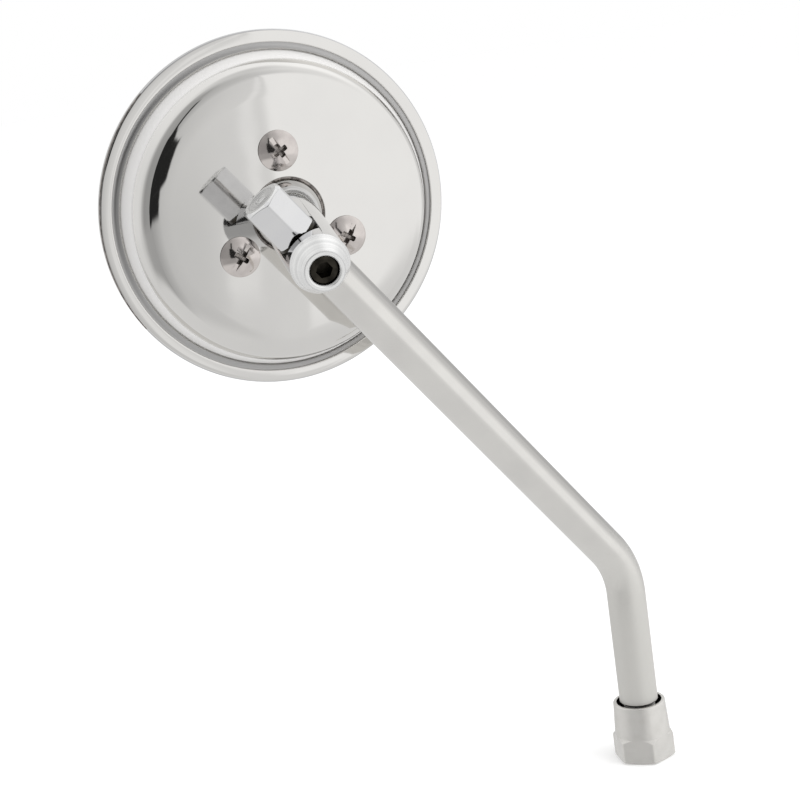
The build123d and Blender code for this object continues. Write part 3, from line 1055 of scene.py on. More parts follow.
@dataclass
class LockNut:
    """Hexagon nut with a collar that covers the top of the thread.

    Attributes:
        flats: Width across the flats.
        turn: Angle of a corner from the x axis, in degrees.
        height: Overall height.
        hex_height: Height of the hexagon.
        shoulder_drop: Fall of the shoulder from the collar to the corners.
        shoulder_inset: How far the shoulder starts inside the flats.
        foot_inset: How far the foot's chamfer starts inside the flats.
        foot_bevel: Height of the foot's chamfer.
        foot_round: Rounding of the foot's edge.
        neck_out: How far the collar's foot stands out from the flats.
        neck_sunk: Inset and depth of the collar's root inside the hexagon.
        neck_rise: Height of the collar's foot above the hexagon.
        neck_round: Rounding of the collar's foot.
        collar_r: Radius of the collar at its top.
        collar_round: Rounding of the collar's top.
        collar_bore_r: Radius of the collar's bore.
        bore_r: Radius of the threaded bore.
        bore_edge: Size of the bore's lower chamfer.
        corner_round: Radius of the hexagon's corners.
        sharp: Least angle of an edge that stays sharp, in degrees.
    """

    flats: float = 17.0
    turn: float = 10.8
    height: float = 18.4
    hex_height: float = 8.0
    shoulder_drop: float = 1.5
    shoulder_inset: float = 0.1
    foot_inset: float = 0.6
    foot_bevel: float = 0.8
    foot_round: float = 0.4
    neck_out: float = 0.15
    neck_sunk: Pair = (0.6, 1.4)
    neck_rise: float = 0.4
    neck_round: float = 2.0
    collar_r: float = 8.1
    collar_round: float = 0.35
    collar_bore_r: float = 7.1
    bore_r: float = 5.0
    bore_edge: float = 0.6
    corner_round: float = 0.9
    sharp: float = 20.0

    def build(self) -> Thing:
        """Builds the nut.

        Returns:
            The nut's object.
        """
        half, corner_r = self.flats / 2, self.flats / math.sqrt(3) + CLEAR
        brow, past = self.hex_height + CLEAR, self.height + OVER
        around = Section(0.0, 0.0).path(
            (half - self.foot_inset, 0.0, self.foot_round),
            (corner_r, self.foot_bevel),
            (corner_r, self.hex_height - self.shoulder_drop),
            (half - self.shoulder_inset, brow),
            (0.0, brow),
        )
        neck_r, root = half + self.neck_out, self.hex_height / 2
        collar = Section(0.0, root).path(
            (neck_r - self.neck_sunk[0], root),
            (neck_r, self.hex_height - self.neck_sunk[1]),
            (neck_r, self.hex_height + self.neck_rise, self.neck_round),
            (self.collar_r, self.height, self.collar_round),
            (0.0, self.height),
        )
        bore = Section(0.0, -OVER).path(
            (self.bore_r + self.bore_edge + OVER, -OVER),
            (self.bore_r, self.bore_edge),
            (self.bore_r, self.hex_height),
            (self.collar_bore_r, self.hex_height),
            (self.collar_bore_r, past),
            (0.0, past),
        )
        bar = hexagon_shape(self.flats, -OVER, self.hex_height + OVER, self.turn, self.corner_round)
        piece = Piece("collar_nut", bar, CAST_CHROME.material()).cut(Cut.SHARED, around.spun())
        # The bore is lined black: painted shade inside the thread.
        piece.cut(Cut.JOINED, collar.spun()).cut(Cut.AWAY, bore.spun(), lining=BLACK_OXIDE.material())
        return piece.place(STEM_PLACE, "chrome", "lock_nut", "lock_nut", self.sharp)


@dataclass
class Swivel:
    """Ball stud, its grub screw and the long nut on the stem's spigot.

    Attributes:
        stud_r: Radius of the stud's body.
        ball_r: Radius of the ball.
        ball_at: Height of the ball's centre along the stud.
        neck_r: Radius of the neck.
        neck_round: Rounding at the neck's root.
        shoulder: Height of the shoulder above the neck.
        shoulder_round: Rounding of the shoulder.
        nose_base: Height at which the nose starts to narrow.
        nose_tip: Height of the nose's face.
        nose_r: Radius of the nose's face.
        nose_rounds: Rounding of the nose's base and of its tip.
        nose_gap: How far up the nose its facing starts.
        bore_r: Radius of the bore in the nose.
        bore_edge: Chamfer of that bore.
        pocket: Distance of the nut pocket's floor from the stud's axis.
        pocket_r: Radius of the pocket.
        spigot_r: Radius of the cross hole.
        spot_face: Distance of the spot face from the stud's axis.
        spot_r: Radius of the spot face.
        grub_r: Radius of the grub screw.
        grub_low: Height of its lower end.
        grub_top: Height of its upper end.
        grub_edge: Its chamfers.
        grub_round: Rounding of the upper one.
        socket: Width of its socket across the flats.
        socket_depth: Depth of the socket.
        socket_round: Radius of the socket's corners.
        nut_flats: Width of the long nut across the flats.
        nut_turn: Angle of a corner, in degrees.
        nut_foot: Distance of its foot from the stud's axis.
        nut_end: Distance of its end.
        nut_round: Radius of its corners.
        foot_bevel: Height of its foot's chamfer.
        end_bevel: Height of its end's chamfer.
        end_inset: How far that chamfer goes inside the flats.
        end_round: Rounding of the end's edge.
        end_band: Width of the plain band inside that edge.
        end_face: Depth of the facing on the end.
        grooves: Radii of the turned rings on its end, as shares of the end's radius.
        groove: Half the width of a ring, and its depth.
        shaded_side: Where its back side starts, which is dulled and darkened as painted shade for its dim
            reflection.
        thread_depth: Depth of its bore.
    """

    stud_r: float = 8.3
    ball_r: float = 8.5
    ball_at: float = -36.5
    neck_r: float = 3.8
    neck_round: float = 0.5
    shoulder: float = -25.3
    shoulder_round: float = 1.2
    nose_base: float = 11.3
    nose_tip: float = 17.6
    nose_r: float = 5.6
    nose_rounds: Pair = (0.5, 0.25)
    nose_gap: float = 0.2
    bore_r: float = 4.05
    bore_edge: float = 0.45
    pocket: float = 5.4
    pocket_r: float = 8.23
    spigot_r: float = 4.05
    spot_face: float = 7.3
    spot_r: float = 6.3
    grub_r: float = 4.0
    grub_low: float = 4.3
    grub_top: float = 16.6
    grub_edge: float = 0.4
    grub_round: float = 0.2
    socket: float = 4.0
    socket_depth: float = 4.0
    socket_round: float = 0.15
    nut_flats: float = 12.0
    nut_turn: float = 7.2
    nut_foot: float = 7.0
    nut_end: float = 20.7
    nut_round: float = 1.9
    foot_bevel: float = 0.35
    end_bevel: float = 0.85
    end_inset: float = 0.7
    end_round: float = 0.3
    end_band: float = 0.8
    end_face: float = 0.3
    grooves: tuple[float, ...] = (0.72, 0.54, 0.36, 0.18)
    groove: Pair = (0.25, 0.1)
    shaded_side: float = -2.0
    thread_depth: float = 9.8

    def build_stud(self) -> Thing:
        """Turns the stud and cuts its cross holes.

        Returns:
            The stud's object.
        """
        section = Section(0.0, self.ball_at - self.ball_r)
        section.arc(0.0, self.ball_at, math.asin(self.neck_r / self.ball_r) - math.pi, steps=48)
        section.path(
            (self.neck_r, self.shoulder, self.neck_round),
            (self.stud_r, self.shoulder, self.shoulder_round),
            (self.stud_r, self.nose_base, self.nose_rounds[0]),
            (self.nose_r, self.nose_tip, self.nose_rounds[1]),
            (self.bore_r + self.bore_edge, self.nose_tip),
            (self.bore_r, self.nose_tip - self.bore_edge),
            (self.bore_r, 0.0),
            (0.0, 0.0),
        )
        piece = Piece("turned_stud", section.spun(), TURNED_CHROME.material(STUD_PLACE))
        # The pocket and the cross holes are lined black: painted shade in their depth.
        hole_shade = BLACK_OXIDE.material()
        past = self.stud_r + 2 * OVER
        for tool in (
            rod_shape(self.pocket_r, self.pocket, past),
            rod_shape(self.spigot_r, -past, past, SMALL_STEPS),
            rod_shape(self.spot_r, -past, -self.spot_face),
        ):
            bmesh.ops.transform(tool, matrix=Matrix.Rotation(math.pi / 2, 4, "Y"), verts=tool.verts)
            piece.cut(Cut.AWAY, tool, lining=hole_shade)
        piece.soften(width=0.2)
        base = self.nose_base + self.nose_gap
        piece.tint(FACED.material(STUD_PLACE), lambda spot: spot.z > base and spot.xy.length > self.bore_r)
        return piece.place(STUD_PLACE, "chrome", "stud", "ball_stud")

    def build_grub(self) -> Thing:
        """Turns the grub screw and sinks its socket.

        Returns:
            The screw's object.
        """
        slim = self.grub_r - self.grub_edge
        section = Section(0.0, self.grub_low).path(
            (slim, self.grub_low),
            (self.grub_r, self.grub_low + self.grub_edge),
            (self.grub_r, self.grub_top - self.grub_edge, self.grub_round),
            (slim, self.grub_top),
            (0.0, self.grub_top),
        )
        floor, past = self.grub_top - self.socket_depth, self.grub_top + OVER
        socket = hexagon_shape(self.socket, floor, past, 0.0, self.socket_round)
        piece = Piece("socket_screw", section.spun(SMALL_STEPS), BLACK_OXIDE.material())
        piece.cut(Cut.AWAY, socket).soften(width=0.1)
        return piece.place(STUD_PLACE, "black_oxide", "stud", "grub_screw")

    def build_nut(self) -> Thing:
        """Builds the long nut with its turned end.

        Returns:
            The nut's object.
        """
        half, corner_r = self.nut_flats / 2, self.nut_flats / math.sqrt(3) + CLEAR
        end_r, end, foot = half - self.end_inset, self.nut_end, self.nut_foot
        section = Section(0.0, foot).path(
            (half, foot),
            (corner_r, foot + self.foot_bevel),
            (corner_r, end - self.end_bevel),
            (end_r, end, self.end_round),
            (end_r - self.end_band, end),
        )
        wide, deep = self.groove
        for share in self.grooves:
            groove = end_r * share
            section.path((groove + wide, end), (groove, end - deep), (groove - wide, end))
        section.line(0.0, end)
        bar = hexagon_shape(self.nut_flats, foot - OVER, end + OVER, self.nut_turn, self.nut_round)
        bore = rod_shape(self.spigot_r, foot - OVER, foot + self.thread_depth, SMALL_STEPS)
        piece = Piece("cap_nut", bar, TURNED_CHROME.material(ARM_PLACE)).cut(Cut.SHARED, section.spun())
        piece.cut(Cut.AWAY, bore).soften(width=0.15, angle=45.0)
        # Painted shade: the back of the nut, towards the shell, takes the darker dulled plate.
        piece.tint(DULLED.material(), lambda spot: spot.x < self.shaded_side)
        piece.tint(FACED.material(ARM_PLACE), lambda spot: spot.z > end - self.end_face)
        return piece.place(ARM_PLACE, "chrome", "stem", "swivel_nut")


@dataclass
class Head:
    """Pressed back shell, the rolled ring round its edge and the dish of the ball socket.

    Heights are measured from the ball's centre along the head's axis.

    Attributes:
        sheet: Thickness of the shell.
        hole_r: Radius of the centre hole.
        crown_height: Height of the crown's top.
        crown_curve: Radius of the crown's sphere.
        crown_r: Radius at which the knuckle starts.
        knuckle_curve: Radius of the knuckle.
        edge_r: Radius at which the knuckle would meet the wall.
        edge_round: Rounding between the knuckle and the wall.
        wall_r: Radius of the wall's foot.
        wall_round: Rounding at the wall's foot.
        flange_r: Radius of the flange.
        flange_top: Height of the flange.
        ring_r: Outer radius of the ring.
        ring_sheet: Thickness of the ring.
        ring_back: Height of the ring's back face.
        ring_front: Height of the ring's front face.
        ring_round: Rounding of the ring's back edge.
        front_round: Rounding of the ring's front edge.
        back_lip_r: Radius of the ring's back lip.
        front_lip_r: Radius of the ring's front lip.
        lip_round: Rounding of the lips.
        ring_leans: Slope of the ring's crowned back at its lip, near its edge and at its edge, in degrees.
        ring_flat_r: Radius near the edge, where the ring's back is highest.
        dull_edge: Width and depth of the ring's dulled edge.
        dark_patch_turn: Angle round the head at which that edge is darker still, in degrees.
        dark_patch_reach: Distance of the darker patch's centre from the axis and its radius, as shares of the
            ring's.
        socket_r: Outer radius of the socket dish's cup.
        socket_sheet: Thickness of the dish.
        socket_mouth: Angle of the cup's mouth from the head's axis, in degrees.
        socket_gap: Radius to which the mouth's lip is turned in.
        lip_run: Angle over which the lip turns in, in degrees.
        plate_r: Radius of the dish's flange.
        plate_drop: Fall of the flange to its edge.
        shade_drop: Depth below the crown under which the dish is darkened, as painted shade beneath the
            shell.
    """

    sheet: float = 1.0
    hole_r: float = 10.9
    crown_height: float = 3.0
    crown_curve: float = 800.0
    crown_r: float = 34.05
    knuckle_curve: float = 30.0
    edge_r: float = 42.15
    edge_round: float = 5.0
    wall_r: float = 46.9
    wall_round: float = 2.2
    flange_r: float = 51.3
    flange_top: float = -11.8
    ring_r: float = 52.39
    ring_sheet: float = 0.8
    ring_back: float = -11.0
    ring_front: float = -16.4
    ring_round: float = 0.7
    front_round: float = 3.2
    back_lip_r: float = 48.7
    front_lip_r: float = 48.4
    lip_round: float = 0.3
    ring_leans: Triple = (-3.0, 0.5, 9.0)
    ring_flat_r: float = 51.0
    dull_edge: Pair = (0.4, 0.75)
    dark_patch_turn: float = 45.0
    dark_patch_reach: Pair = (0.8, 0.65)
    socket_r: float = 10.6
    socket_sheet: float = 1.2
    socket_mouth: float = 46.5
    socket_gap: float = 8.62
    lip_run: float = 5.0
    plate_r: float = 25.0
    plate_drop: float = 0.3
    shade_drop: float = 0.7

    def build_shell(self) -> Thing:
        """Spins the shell from its section.

        Returns:
            The shell's object.
        """
        centre = self.crown_height - self.crown_curve
        first, last = (math.asin(r / self.crown_curve) for r in (self.hole_r, self.crown_r))
        share = 1 - self.knuckle_curve / self.crown_curve
        knuckle = Vector((self.crown_r * share, centre + self.crown_curve * math.cos(last) * share))
        rise = math.sqrt(self.knuckle_curve**2 - (self.edge_r - knuckle.x) ** 2)
        edge = Vector((self.edge_r, knuckle.y + rise))
        wall = (Vector((self.wall_r, self.flange_top)) - edge).normalized()
        out = Vector((-wall.y, wall.x))
        start = edge - out * self.edge_round - knuckle
        along = start.dot(wall)
        reach = self.knuckle_curve - self.edge_round
        roll = knuckle + start - wall * (along + math.sqrt(along**2 - start.length_squared + reach**2))
        tilt, lean = math.atan2(*(roll - knuckle)), math.atan2(*out)
        brim = self.hole_r, centre + self.crown_curve * math.cos(first)
        section = Section(*brim)
        section.arc(0.0, centre, last - first, steps=24)
        section.arc(*knuckle, tilt - last, steps=16)
        section.arc(*roll, lean - tilt, steps=16)
        under = self.flange_top - self.sheet
        inner = roll + out * (self.edge_round - self.sheet)
        inner_foot = inner.x + wall.x * (under - inner.y) / wall.y
        section.path(
            (self.wall_r, self.flange_top, self.wall_round),
            (self.flange_r, self.flange_top),
            (self.flange_r, under),
            (inner_foot, under, self.wall_round + self.sheet),
            (*inner,),
        )
        section.arc(*roll, tilt - lean, steps=16)
        section.arc(*knuckle, last - tilt, steps=16)
        section.arc(0.0, centre, first - last, steps=24)
        section.line(*brim)
        piece = Piece("pressed_shell", section.spun(RIM_STEPS), PAN_CHROME.material(HEAD_PLACE))
        return piece.soften(width=0.2, angle=50.0).place(HEAD_PLACE, "chrome", "head", "back_shell")

    def build_ring(self) -> Thing:
        """Spins the ring from its section.

        Returns:
            The ring's object.
        """
        inside = self.ring_r - self.ring_sheet
        glass = self.ring_front + self.ring_sheet
        leans = [math.radians(lean) for lean in self.ring_leans]
        sines = [math.sin(lean) for lean in leans]
        first = self.back_lip_r + self.lip_round
        edges = first, self.ring_flat_r, self.ring_r - self.ring_round * (1 - sines[2])
        curves = [(edges[each + 1] - edges[each]) / (sines[each + 1] - sines[each]) for each in (0, 1)]
        height = lip = self.ring_back - curves[0] * (1 - math.cos(leans[0]))
        section = Section(first, lip)
        for each, curve in enumerate(curves):
            low = height - curve * math.cos(leans[each])
            section.arc(edges[each] - curve * sines[each], low, leans[each + 1] - leans[each], steps=6)
            height = low + curve * math.cos(leans[each + 1])
        low = height - self.ring_round * math.cos(leans[2])
        section.arc(self.ring_r - self.ring_round, low, math.pi / 2 - leans[2], steps=8)
        section.path(
            (self.ring_r, self.ring_front, self.front_round),
            (self.front_lip_r, self.ring_front, self.lip_round),
            (self.front_lip_r, glass, self.lip_round),
            (inside, glass, self.front_round - self.ring_sheet),
            (inside, self.flange_top),
            (self.back_lip_r, self.flange_top, self.lip_round),
            (self.back_lip_r, lip, self.lip_round),
            (first, lip),
        )
        piece = Piece("rolled_ring", section.spun(RIM_STEPS), CHROME.material())
        edge, foot = self.ring_r - self.dull_edge[0], self.ring_back - self.dull_edge[1]
        turn = math.radians(self.dark_patch_turn)
        away, reach = (share * self.ring_r for share in self.dark_patch_reach)
        dark = Vector((math.cos(turn), math.sin(turn))) * away
        piece.tint(DULLED.material(), lambda spot: spot.z > foot and spot.xy.length > edge)
        piece.tint(
            DARK_NICKEL.material(),
            lambda spot: spot.z > foot and spot.xy.length > edge and (spot.xy - dark).length < reach,
        )
        return piece.place(HEAD_PLACE, "chrome", "head", "rim_ring")

    def build_dish(self) -> Thing:
        """Spins the socket dish with its lip turned in to the ball.

        Returns:
            The dish's object.
        """
        outside, inside = self.socket_r, self.socket_r - self.socket_sheet
        top = self.crown_height - self.sheet
        under, rim = top - self.socket_sheet, top - self.plate_drop
        root, start = math.acos(top / outside), math.acos(under / inside)
        lip = (outside - self.socket_gap) / 2
        centre = self.socket_gap + lip
        mouth = math.radians(self.socket_mouth) + math.asin(lip / centre)
        section = Section(*polar(outside, mouth))
        section.arc(0.0, 0.0, root - mouth, steps=24)
        section.path(
            (self.plate_r, rim),
            (self.plate_r, rim - self.socket_sheet),
            (inside, under),
            polar(inside, start),
        )
        section.arc(0.0, 0.0, mouth + math.radians(self.lip_run) - start, steps=16)
        section.line(*polar(self.socket_gap, mouth))
        section.arc(*polar(centre, mouth), math.pi, steps=12)
        piece = Piece("socket_cup", section.spun(), CUP_CHROME.material())
        # Painted shade: the dish's flange and the cup's root under the shell are darkened.
        piece.tint(DARK_NICKEL.material(), lambda spot: spot.z < self.crown_height - self.shade_drop)
        return piece.place(HEAD_PLACE, "chrome", "head", "socket_dish")


@dataclass
class ClampScrews:
    """Three truss-head screws with a slot across a cross recess.

    Attributes:
        circle_r: Radius of the circle that the screws stand on.
        first_turn: Angle of the first screw round the head, in degrees.
        crown_height: Height of the crown's top.
        crown_curve: Radius of the crown, which each screw stands square on.
        slot_turns: Angle of each screw's slot, in degrees.
        head_r: Radius of the head.
        head_height: Height of the head.
        head_edge: Height of the head's straight edge.
        shank_r: Radius of the shank.
        length: Length of the shank.
        slot: Width of the slot.
        slot_depth: Depth of the slot below the head's top.
        slot_run: Length of the slot's tool, as a share of the head's radius.
        cross: Length of the cross recess.
        arm: Width of its arms.
        cross_depth: Its depth below the head's top.
        tapers: Narrowing of the slot and of the cross recess on the way down.
        crevice_shade: Height and radius of the painted shadow line round the head's foot, as shares of the
            edge and of the radius.
    """

    circle_r: float = 18.65
    first_turn: float = -35.7
    crown_height: float = 3.0
    crown_curve: float = 800.0
    slot_turns: tuple[float, ...] = (-153.8, 18.2, -96.3)
    head_r: float = 5.9
    head_height: float = 2.7
    head_edge: float = 0.4
    shank_r: float = 2.5
    length: float = 9.8
    slot: float = 1.3
    slot_depth: float = 1.15
    slot_run: float = 2.4
    cross: float = 5.2
    arm: float = 1.8
    cross_depth: float = 2.6
    tapers: Pair = (0.05, 0.7)
    crevice_shade: Pair = (0.8, 0.9)

    def screw(self, slot_turn: float, coat: Coat, crevice_shade: Coat) -> Piece:
        """Builds one screw on the z axis, with its seat at z = 0.

        Args:
            slot_turn: Angle of its slot, in degrees.
            coat: Material of the screw.
            crevice_shade: Material of the painted shade in its recess and of the painted shadow round its
                edge.

        Returns:
            The screw.
        """
        cap = self.head_height - self.head_edge
        curve = (self.head_r**2 + cap**2) / (2 * cap)
        section = Section(0.0, self.head_height)
        section.arc(0.0, self.head_height - curve, math.asin(self.head_r / curve), steps=24)
        section.path(
            (self.head_r, 0.0), (self.shank_r, 0.0), (self.shank_r, -self.length), (0.0, -self.length)
        )
        piece = Piece("truss_screws", section.spun(SMALL_STEPS), coat)
        run, (taper, cross_taper) = self.slot_run * self.head_r, self.tapers
        slot = wedge_shape(run, self.slot, self.slot_depth, taper, slot_turn)
        cross = self.cross, self.arm, self.cross_depth, cross_taper
        arms = [wedge_shape(*cross, slot_turn + turn) for turn in (0, 90)]
        for tool in (slot, *arms):
            bmesh.ops.translate(tool, vec=(0.0, 0.0, self.head_height), verts=tool.verts)
        # Painted shade lines the cross recess, and a painted contact shadow runs round the head's foot.
        piece.cut(Cut.AWAY, slot).cut(Cut.AWAY, *arms, lining=crevice_shade).soften(width=0.1)
        edge, rim = self.crevice_shade[0] * self.head_edge, self.crevice_shade[1] * self.head_r
        return piece.tint(crevice_shade, lambda spot: 0.0 < spot.z < edge and spot.xy.length > rim)

    def build(self) -> Thing:
        """Builds the three screws as one piece.

        Returns:
            The screws' object.
        """
        lean = Matrix.Rotation(math.asin(self.circle_r / self.crown_curve), 4, "Y")
        lift = Matrix.Translation((0.0, 0.0, self.crown_curve))
        centre = Matrix.Translation((0.0, 0.0, self.crown_height - self.crown_curve))
        coat, crevice_shade = NICKEL.material(), DARK_NICKEL.material()
        screws = [self.screw(slot_turn, coat, crevice_shade) for slot_turn in self.slot_turns]
        step = 360 / len(screws)
        for index, screw in enumerate(screws):
            around = Matrix.Rotation(math.radians(self.first_turn + step * index), 4, "Z")
            screw.thing.data.transform(centre @ around @ lean @ lift)
        return screws[0].join(*screws[1:]).place(HEAD_PLACE, "nickel", "head", "clamp_screws")


@dataclass(frozen=True)
class Panel:
    """Studio screen or stand that shows in reflections.

    Attributes:
        bearings: Its two sides, in degrees from -Y towards -X.
        heights: Its lower and upper edges, in degrees above the horizon.
        soft: Softness of its sides, of its lower and of its upper edge, in degrees.
        level: Its brightness.
        ragged: Unevenness of its sides, in degrees.
        lean: Lean of its first side, in degrees for each degree of height.
    """

    bearings: Pair
    heights: Pair
    soft: Triple
    level: float
    ragged: float = 0.0
    lean: float = 0.0

    def mask(self, tree: Tree, bearing: Socket, height: Socket, noise: Socket) -> Socket:
        """Finds where the panel shows.

        Args:
            tree: The world's tree.
            bearing: Socket of the bearing, in degrees.
            height: Socket of the height, in degrees.
            noise: Socket of the noise in ragged sides.

        Returns:
            Socket that is 1 on the panel and 0 off it.
        """
        (left, right), (low, high), (wide, foot, top) = self.bearings, self.heights, self.soft
        side = tree.shaken(bearing, noise, self.ragged)
        lean = tree.maths("MULTIPLY", tree.maths("SUBTRACT", height, low), self.lean)
        mask = tree.between(tree.maths("SUBTRACT", side, lean), left - wide, left + wide)
        for value, start, end in (
            (side, right + wide, right - wide),
            (height, low - foot, low + foot),
            (height, high + top, high - top),
        ):
            mask = tree.maths("MULTIPLY", mask, tree.between(value, start, end))
        return mask


# A white screen, folds of it and dark stands, in the order in which they cover each other.
PANELS = (
    Panel((-92.0, -1.7), (-21.0, 33.0), (0.35, 5.0, 9.0), 0.97),
    Panel((-0.75, 0.3), (-14.0, 30.0), (0.3, 3.0, 12.0), 0.88, 1.2),
    Panel((0.2, 2.7), (-18.2, -12.0), (0.4, 1.5, 1.5), 0.84, 1.0),
    Panel((-3.6, -1.4), (-30.0, -16.5), (0.3, 1.0, 1.0), 0.76),
    Panel((20.6, 45.5), (-9.0, -3.0), (1.0, 1.0, 1.0), 0.02, 2.0),
    Panel((15.8, 47.0), (-4.0, 5.0), (0.8, 0.8, 0.8), 0.02, 1.5),
    Panel((16.3, 48.0), (4.0, 27.0), (0.8, 1.0, 1.0), 0.02, 2.0, 0.86),
    Panel((36.3, 43.0), (25.5, 49.0), (1.0, 1.5, 1.5), 0.02, 2.5),
)


@dataclass(frozen=True)
class Surround:
    """Brightness of the studio round the object, as polished metal sees it.

    Each band lists bearings, in degrees from -Y towards -X, with the brightness there.

    Attributes:
        low: Band a little below the horizon.
        middle: Band at the horizon.
        high: Band half way up.
        ground: Brightness of the ground below.
        zenith: Brightness overhead.
        fades: Heights between which one band goes over into the next, in degrees.
        ripples: Size of the noise in ragged panels.
    """

    low: Stops = (
        (-180, 0.7), (-113, 0.74), (-83, 0.78), (-12, 0.78), (-2, 0.76), (2, 0.74), (4.5, 0.65), (10, 0.63),
        (18, 0.6), (22, 0.52), (29, 0.4), (60, 0.4), (80, 0.42), (97, 0.55), (112, 0.66), (142, 0.75),
        (172, 0.66),
    )
    middle: Stops = (
        (-180, 0.6), (-143, 0.6), (-128, 0.64), (-113, 0.7), (-98, 0.83), (-83, 0.94), (-20, 0.97),
        (-6, 0.78), (0, 0.76), (5, 0.72), (10, 0.665), (16, 0.62), (24, 0.53), (32, 0.45), (46, 0.36),
        (82, 0.34), (97, 0.49), (112, 0.72), (127, 0.77), (142, 0.81), (157, 0.78), (176, 0.62),
    )
    high: Stops = (
        (-180, 0.93), (-143, 1.05), (-128, 1.09), (-98, 1.12), (-83, 1.07), (-68, 0.96), (-53, 0.87),
        (-38, 0.86), (-23, 0.8), (-8, 0.69), (0, 0.63), (10, 0.58), (22, 0.54), (32, 0.49), (46, 0.37),
        (60, 0.4), (85, 0.42), (97, 0.58), (112, 0.83), (142, 0.88), (172, 0.92),
    )
    ground: float = 0.73
    zenith: float = 0.7
    fades: Stops = ((-36.0, -24.0), (-12.0, -2.0), (16.0, 46.0), (58.0, 84.0))
    ripples: float = 40.0

    def band(self, tree: Tree, stops: Stops, share: Socket) -> Socket:
        """Lays a band round the horizon, by the bearing as a share of the round."""
        halves = (((bearing + 180) / 360, (level / 2,) * 3) for bearing, level in stops)
        return tree.maths("MULTIPLY", tree.ramp(share, *halves), 2.0)

    def shown(self, tree: Tree) -> Socket:
        """Builds the whole surround.

        Args:
            tree: The world's tree.

        Returns:
            Socket of its brightness.
        """
        way = tree.add("TexCoord").outputs["Generated"]
        parts = tree.add("SeparateXYZ", Vector=way).outputs
        left, near = (tree.maths("MULTIPLY", parts[name], -1.0) for name in "XY")
        bearing = tree.maths("DEGREES", tree.maths("ARCTAN2", left, near))
        height = tree.maths("DEGREES", tree.maths("ARCSINE", parts["Z"]))
        share = tree.maths("DIVIDE", tree.maths("ADD", bearing, 180.0), 360.0)
        bands = [self.band(tree, stops, share) for stops in (self.low, self.middle, self.high)]
        level = self.ground
        for fade, band in zip(self.fades, (*bands, self.zenith)):
            level = tree.mixed(tree.between(height, *fade), level, band)
        noise = tree.noise(way, self.ripples, detail=3.0)
        for panel in PANELS:
            level = tree.mixed(panel.mask(tree, bearing, height, noise), level, panel.level)
        return level


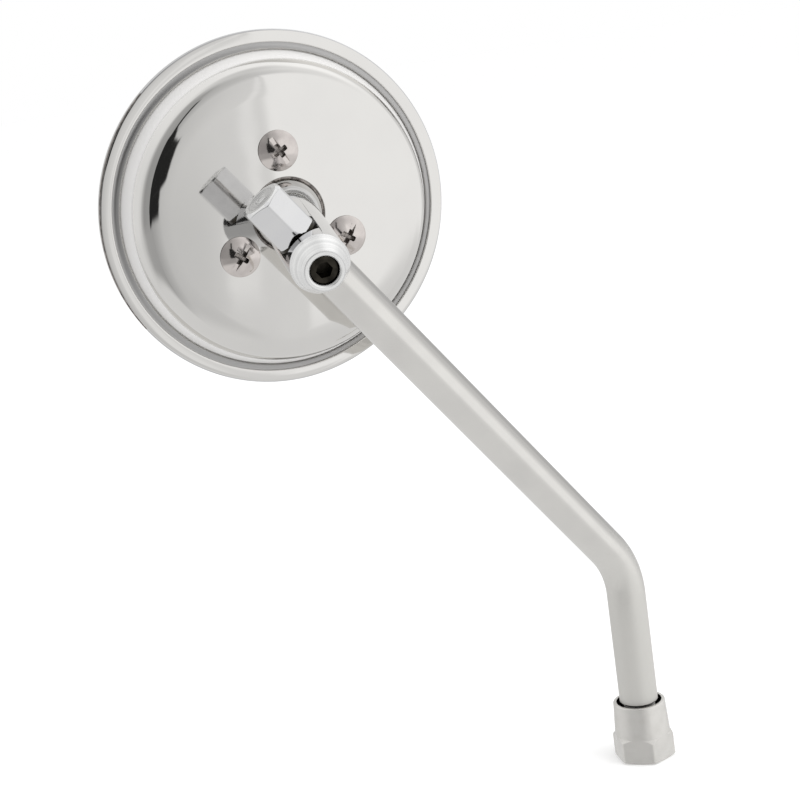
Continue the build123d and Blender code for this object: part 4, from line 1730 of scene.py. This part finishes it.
@dataclass
class Studio:
    """White studio: world, floor, lamp and camera.

    Attributes:
        camera_place: Where the camera stands, in metres.
        camera_turn: Its Euler angles, in degrees.
        lens: Focal length, in millimetres.
        sensor: Width of the sensor, in millimetres.
        near: Nearest distance that the camera sees, in metres.
        fill: Brightness of the world on dull surfaces.
        floor_size: Side of the floor, in metres.
        floor_white: Colour of the floor.
        floor_glow: Lift of the floor towards white, as the camera sees it.
        key_power: Power of the soft lamp above, in watts.
        key_size: Side of the lamp, in metres.
        key_place: Where it hangs, in metres from the ball.
    """

    camera_place: Triple = (-0.291335, -0.407469, 0.226662)
    camera_turn: Triple = (78.3212, 8.0916, -30.2355)
    lens: float = 75.41
    sensor: float = 36.0
    near: float = 0.01
    fill: float = 0.85
    floor_size: float = 60.0
    floor_white: float = 0.92
    floor_glow: float = 0.22
    key_power: float = 10.0
    key_size: float = 1.2
    key_place: Triple = (0.6, -0.8, 1.3)

    def build(self) -> None:
        """Sets up everything round the object."""
        self.set_world()
        self.lay_floor()
        self.hang_lamp()
        self.set_camera()
        bpy.context.scene.view_settings.view_transform = "Standard"

    def set_world(self) -> None:
        """Makes the world white to the camera and a studio to polished metal."""
        world = bpy.data.worlds.new("studio")
        bpy.context.scene.world = world
        tree = Tree(world)
        path = tree.add("LightPath").outputs
        mirrored = tree.maths("MAXIMUM", path["Is Glossy Ray"], path["Is Transmission Ray"])
        level = tree.mixed(mirrored, self.fill, Surround().shown(tree))
        level = tree.mixed(path["Is Camera Ray"], level, 1.0)
        back = tree.add("Background", Strength=level, Color=(1.0, 1.0, 1.0, 1.0))
        tree.add("OutputWorld", Surface=back.outputs["Background"])

    def lay_floor(self) -> None:
        """Lays the pale floor."""
        mesh = bpy.data.meshes.new("floor")
        shape = bmesh.new()
        bmesh.ops.create_grid(shape, x_segments=1, y_segments=1, size=self.floor_size / 2)
        shape.to_mesh(mesh)
        shape.free()
        floor = linked("floor", mesh)
        floor.visible_glossy = False
        material = bpy.data.materials.new("floor")
        tree = Tree(material)
        matt = tree.add("BsdfDiffuse", Color=(self.floor_white,) * 3 + (1.0,))
        path = tree.add("LightPath").outputs["Is Camera Ray"]
        glow = tree.add("Emission", Strength=tree.maths("MULTIPLY", path, self.floor_glow))
        both = tree.put(tree.add("AddShader"), {0: matt.outputs["BSDF"], 1: glow.outputs["Emission"]})
        tree.add("OutputMaterial", Surface=both.outputs["Shader"])
        mesh.materials.append(material)

    def hang_lamp(self) -> None:
        """Hangs one large soft lamp above and in front of the object."""
        light = bpy.data.lights.new("key", "AREA")
        light.shape = "SQUARE"
        light.size = self.key_size
        light.energy = self.key_power
        lamp = linked("key", light)
        away = Vector(self.key_place)
        lamp.location = BALL + away
        lamp.rotation_euler = away.to_track_quat("Z", "Y").to_euler()
        lamp.visible_glossy = False

    def set_camera(self) -> None:
        """Stands the camera where the photograph was taken."""
        optics = bpy.data.cameras.new("camera")
        optics.lens = self.lens
        optics.sensor_width = self.sensor
        optics.clip_start = self.near
        camera = linked("camera", optics)
        camera.location = self.camera_place
        camera.rotation_euler = Euler([math.radians(angle) for angle in self.camera_turn])
        bpy.context.scene.camera = camera


def dress_nodes() -> None:
    """Gives every CAD node its finish."""
    for finish, names in NODE_FINISHES.items():
        coat = finish.material()
        for name in names:
            for slot in frame["nodes"][name].material_slots:
                slot.material = coat
            LOG.info("dressed %s in %s", name, finish.name)


def main() -> None:
    """Builds the finer pieces, dresses the mirror and sets up the studio."""
    logging.basicConfig(level=logging.INFO)
    dress_nodes()
    swivel, head = Swivel(), Head()
    stages = (
        Stem().build,
        LockNut().build,
        swivel.build_stud,
        swivel.build_grub,
        swivel.build_nut,
        head.build_shell,
        head.build_ring,
        head.build_dish,
        ClampScrews().build,
    )
    for build in stages:
        thing = build()
        LOG.info("built %s: %d faces", thing.name, len(thing.data.polygons))
    Studio().build()


if __name__ == "__main__":
    main()
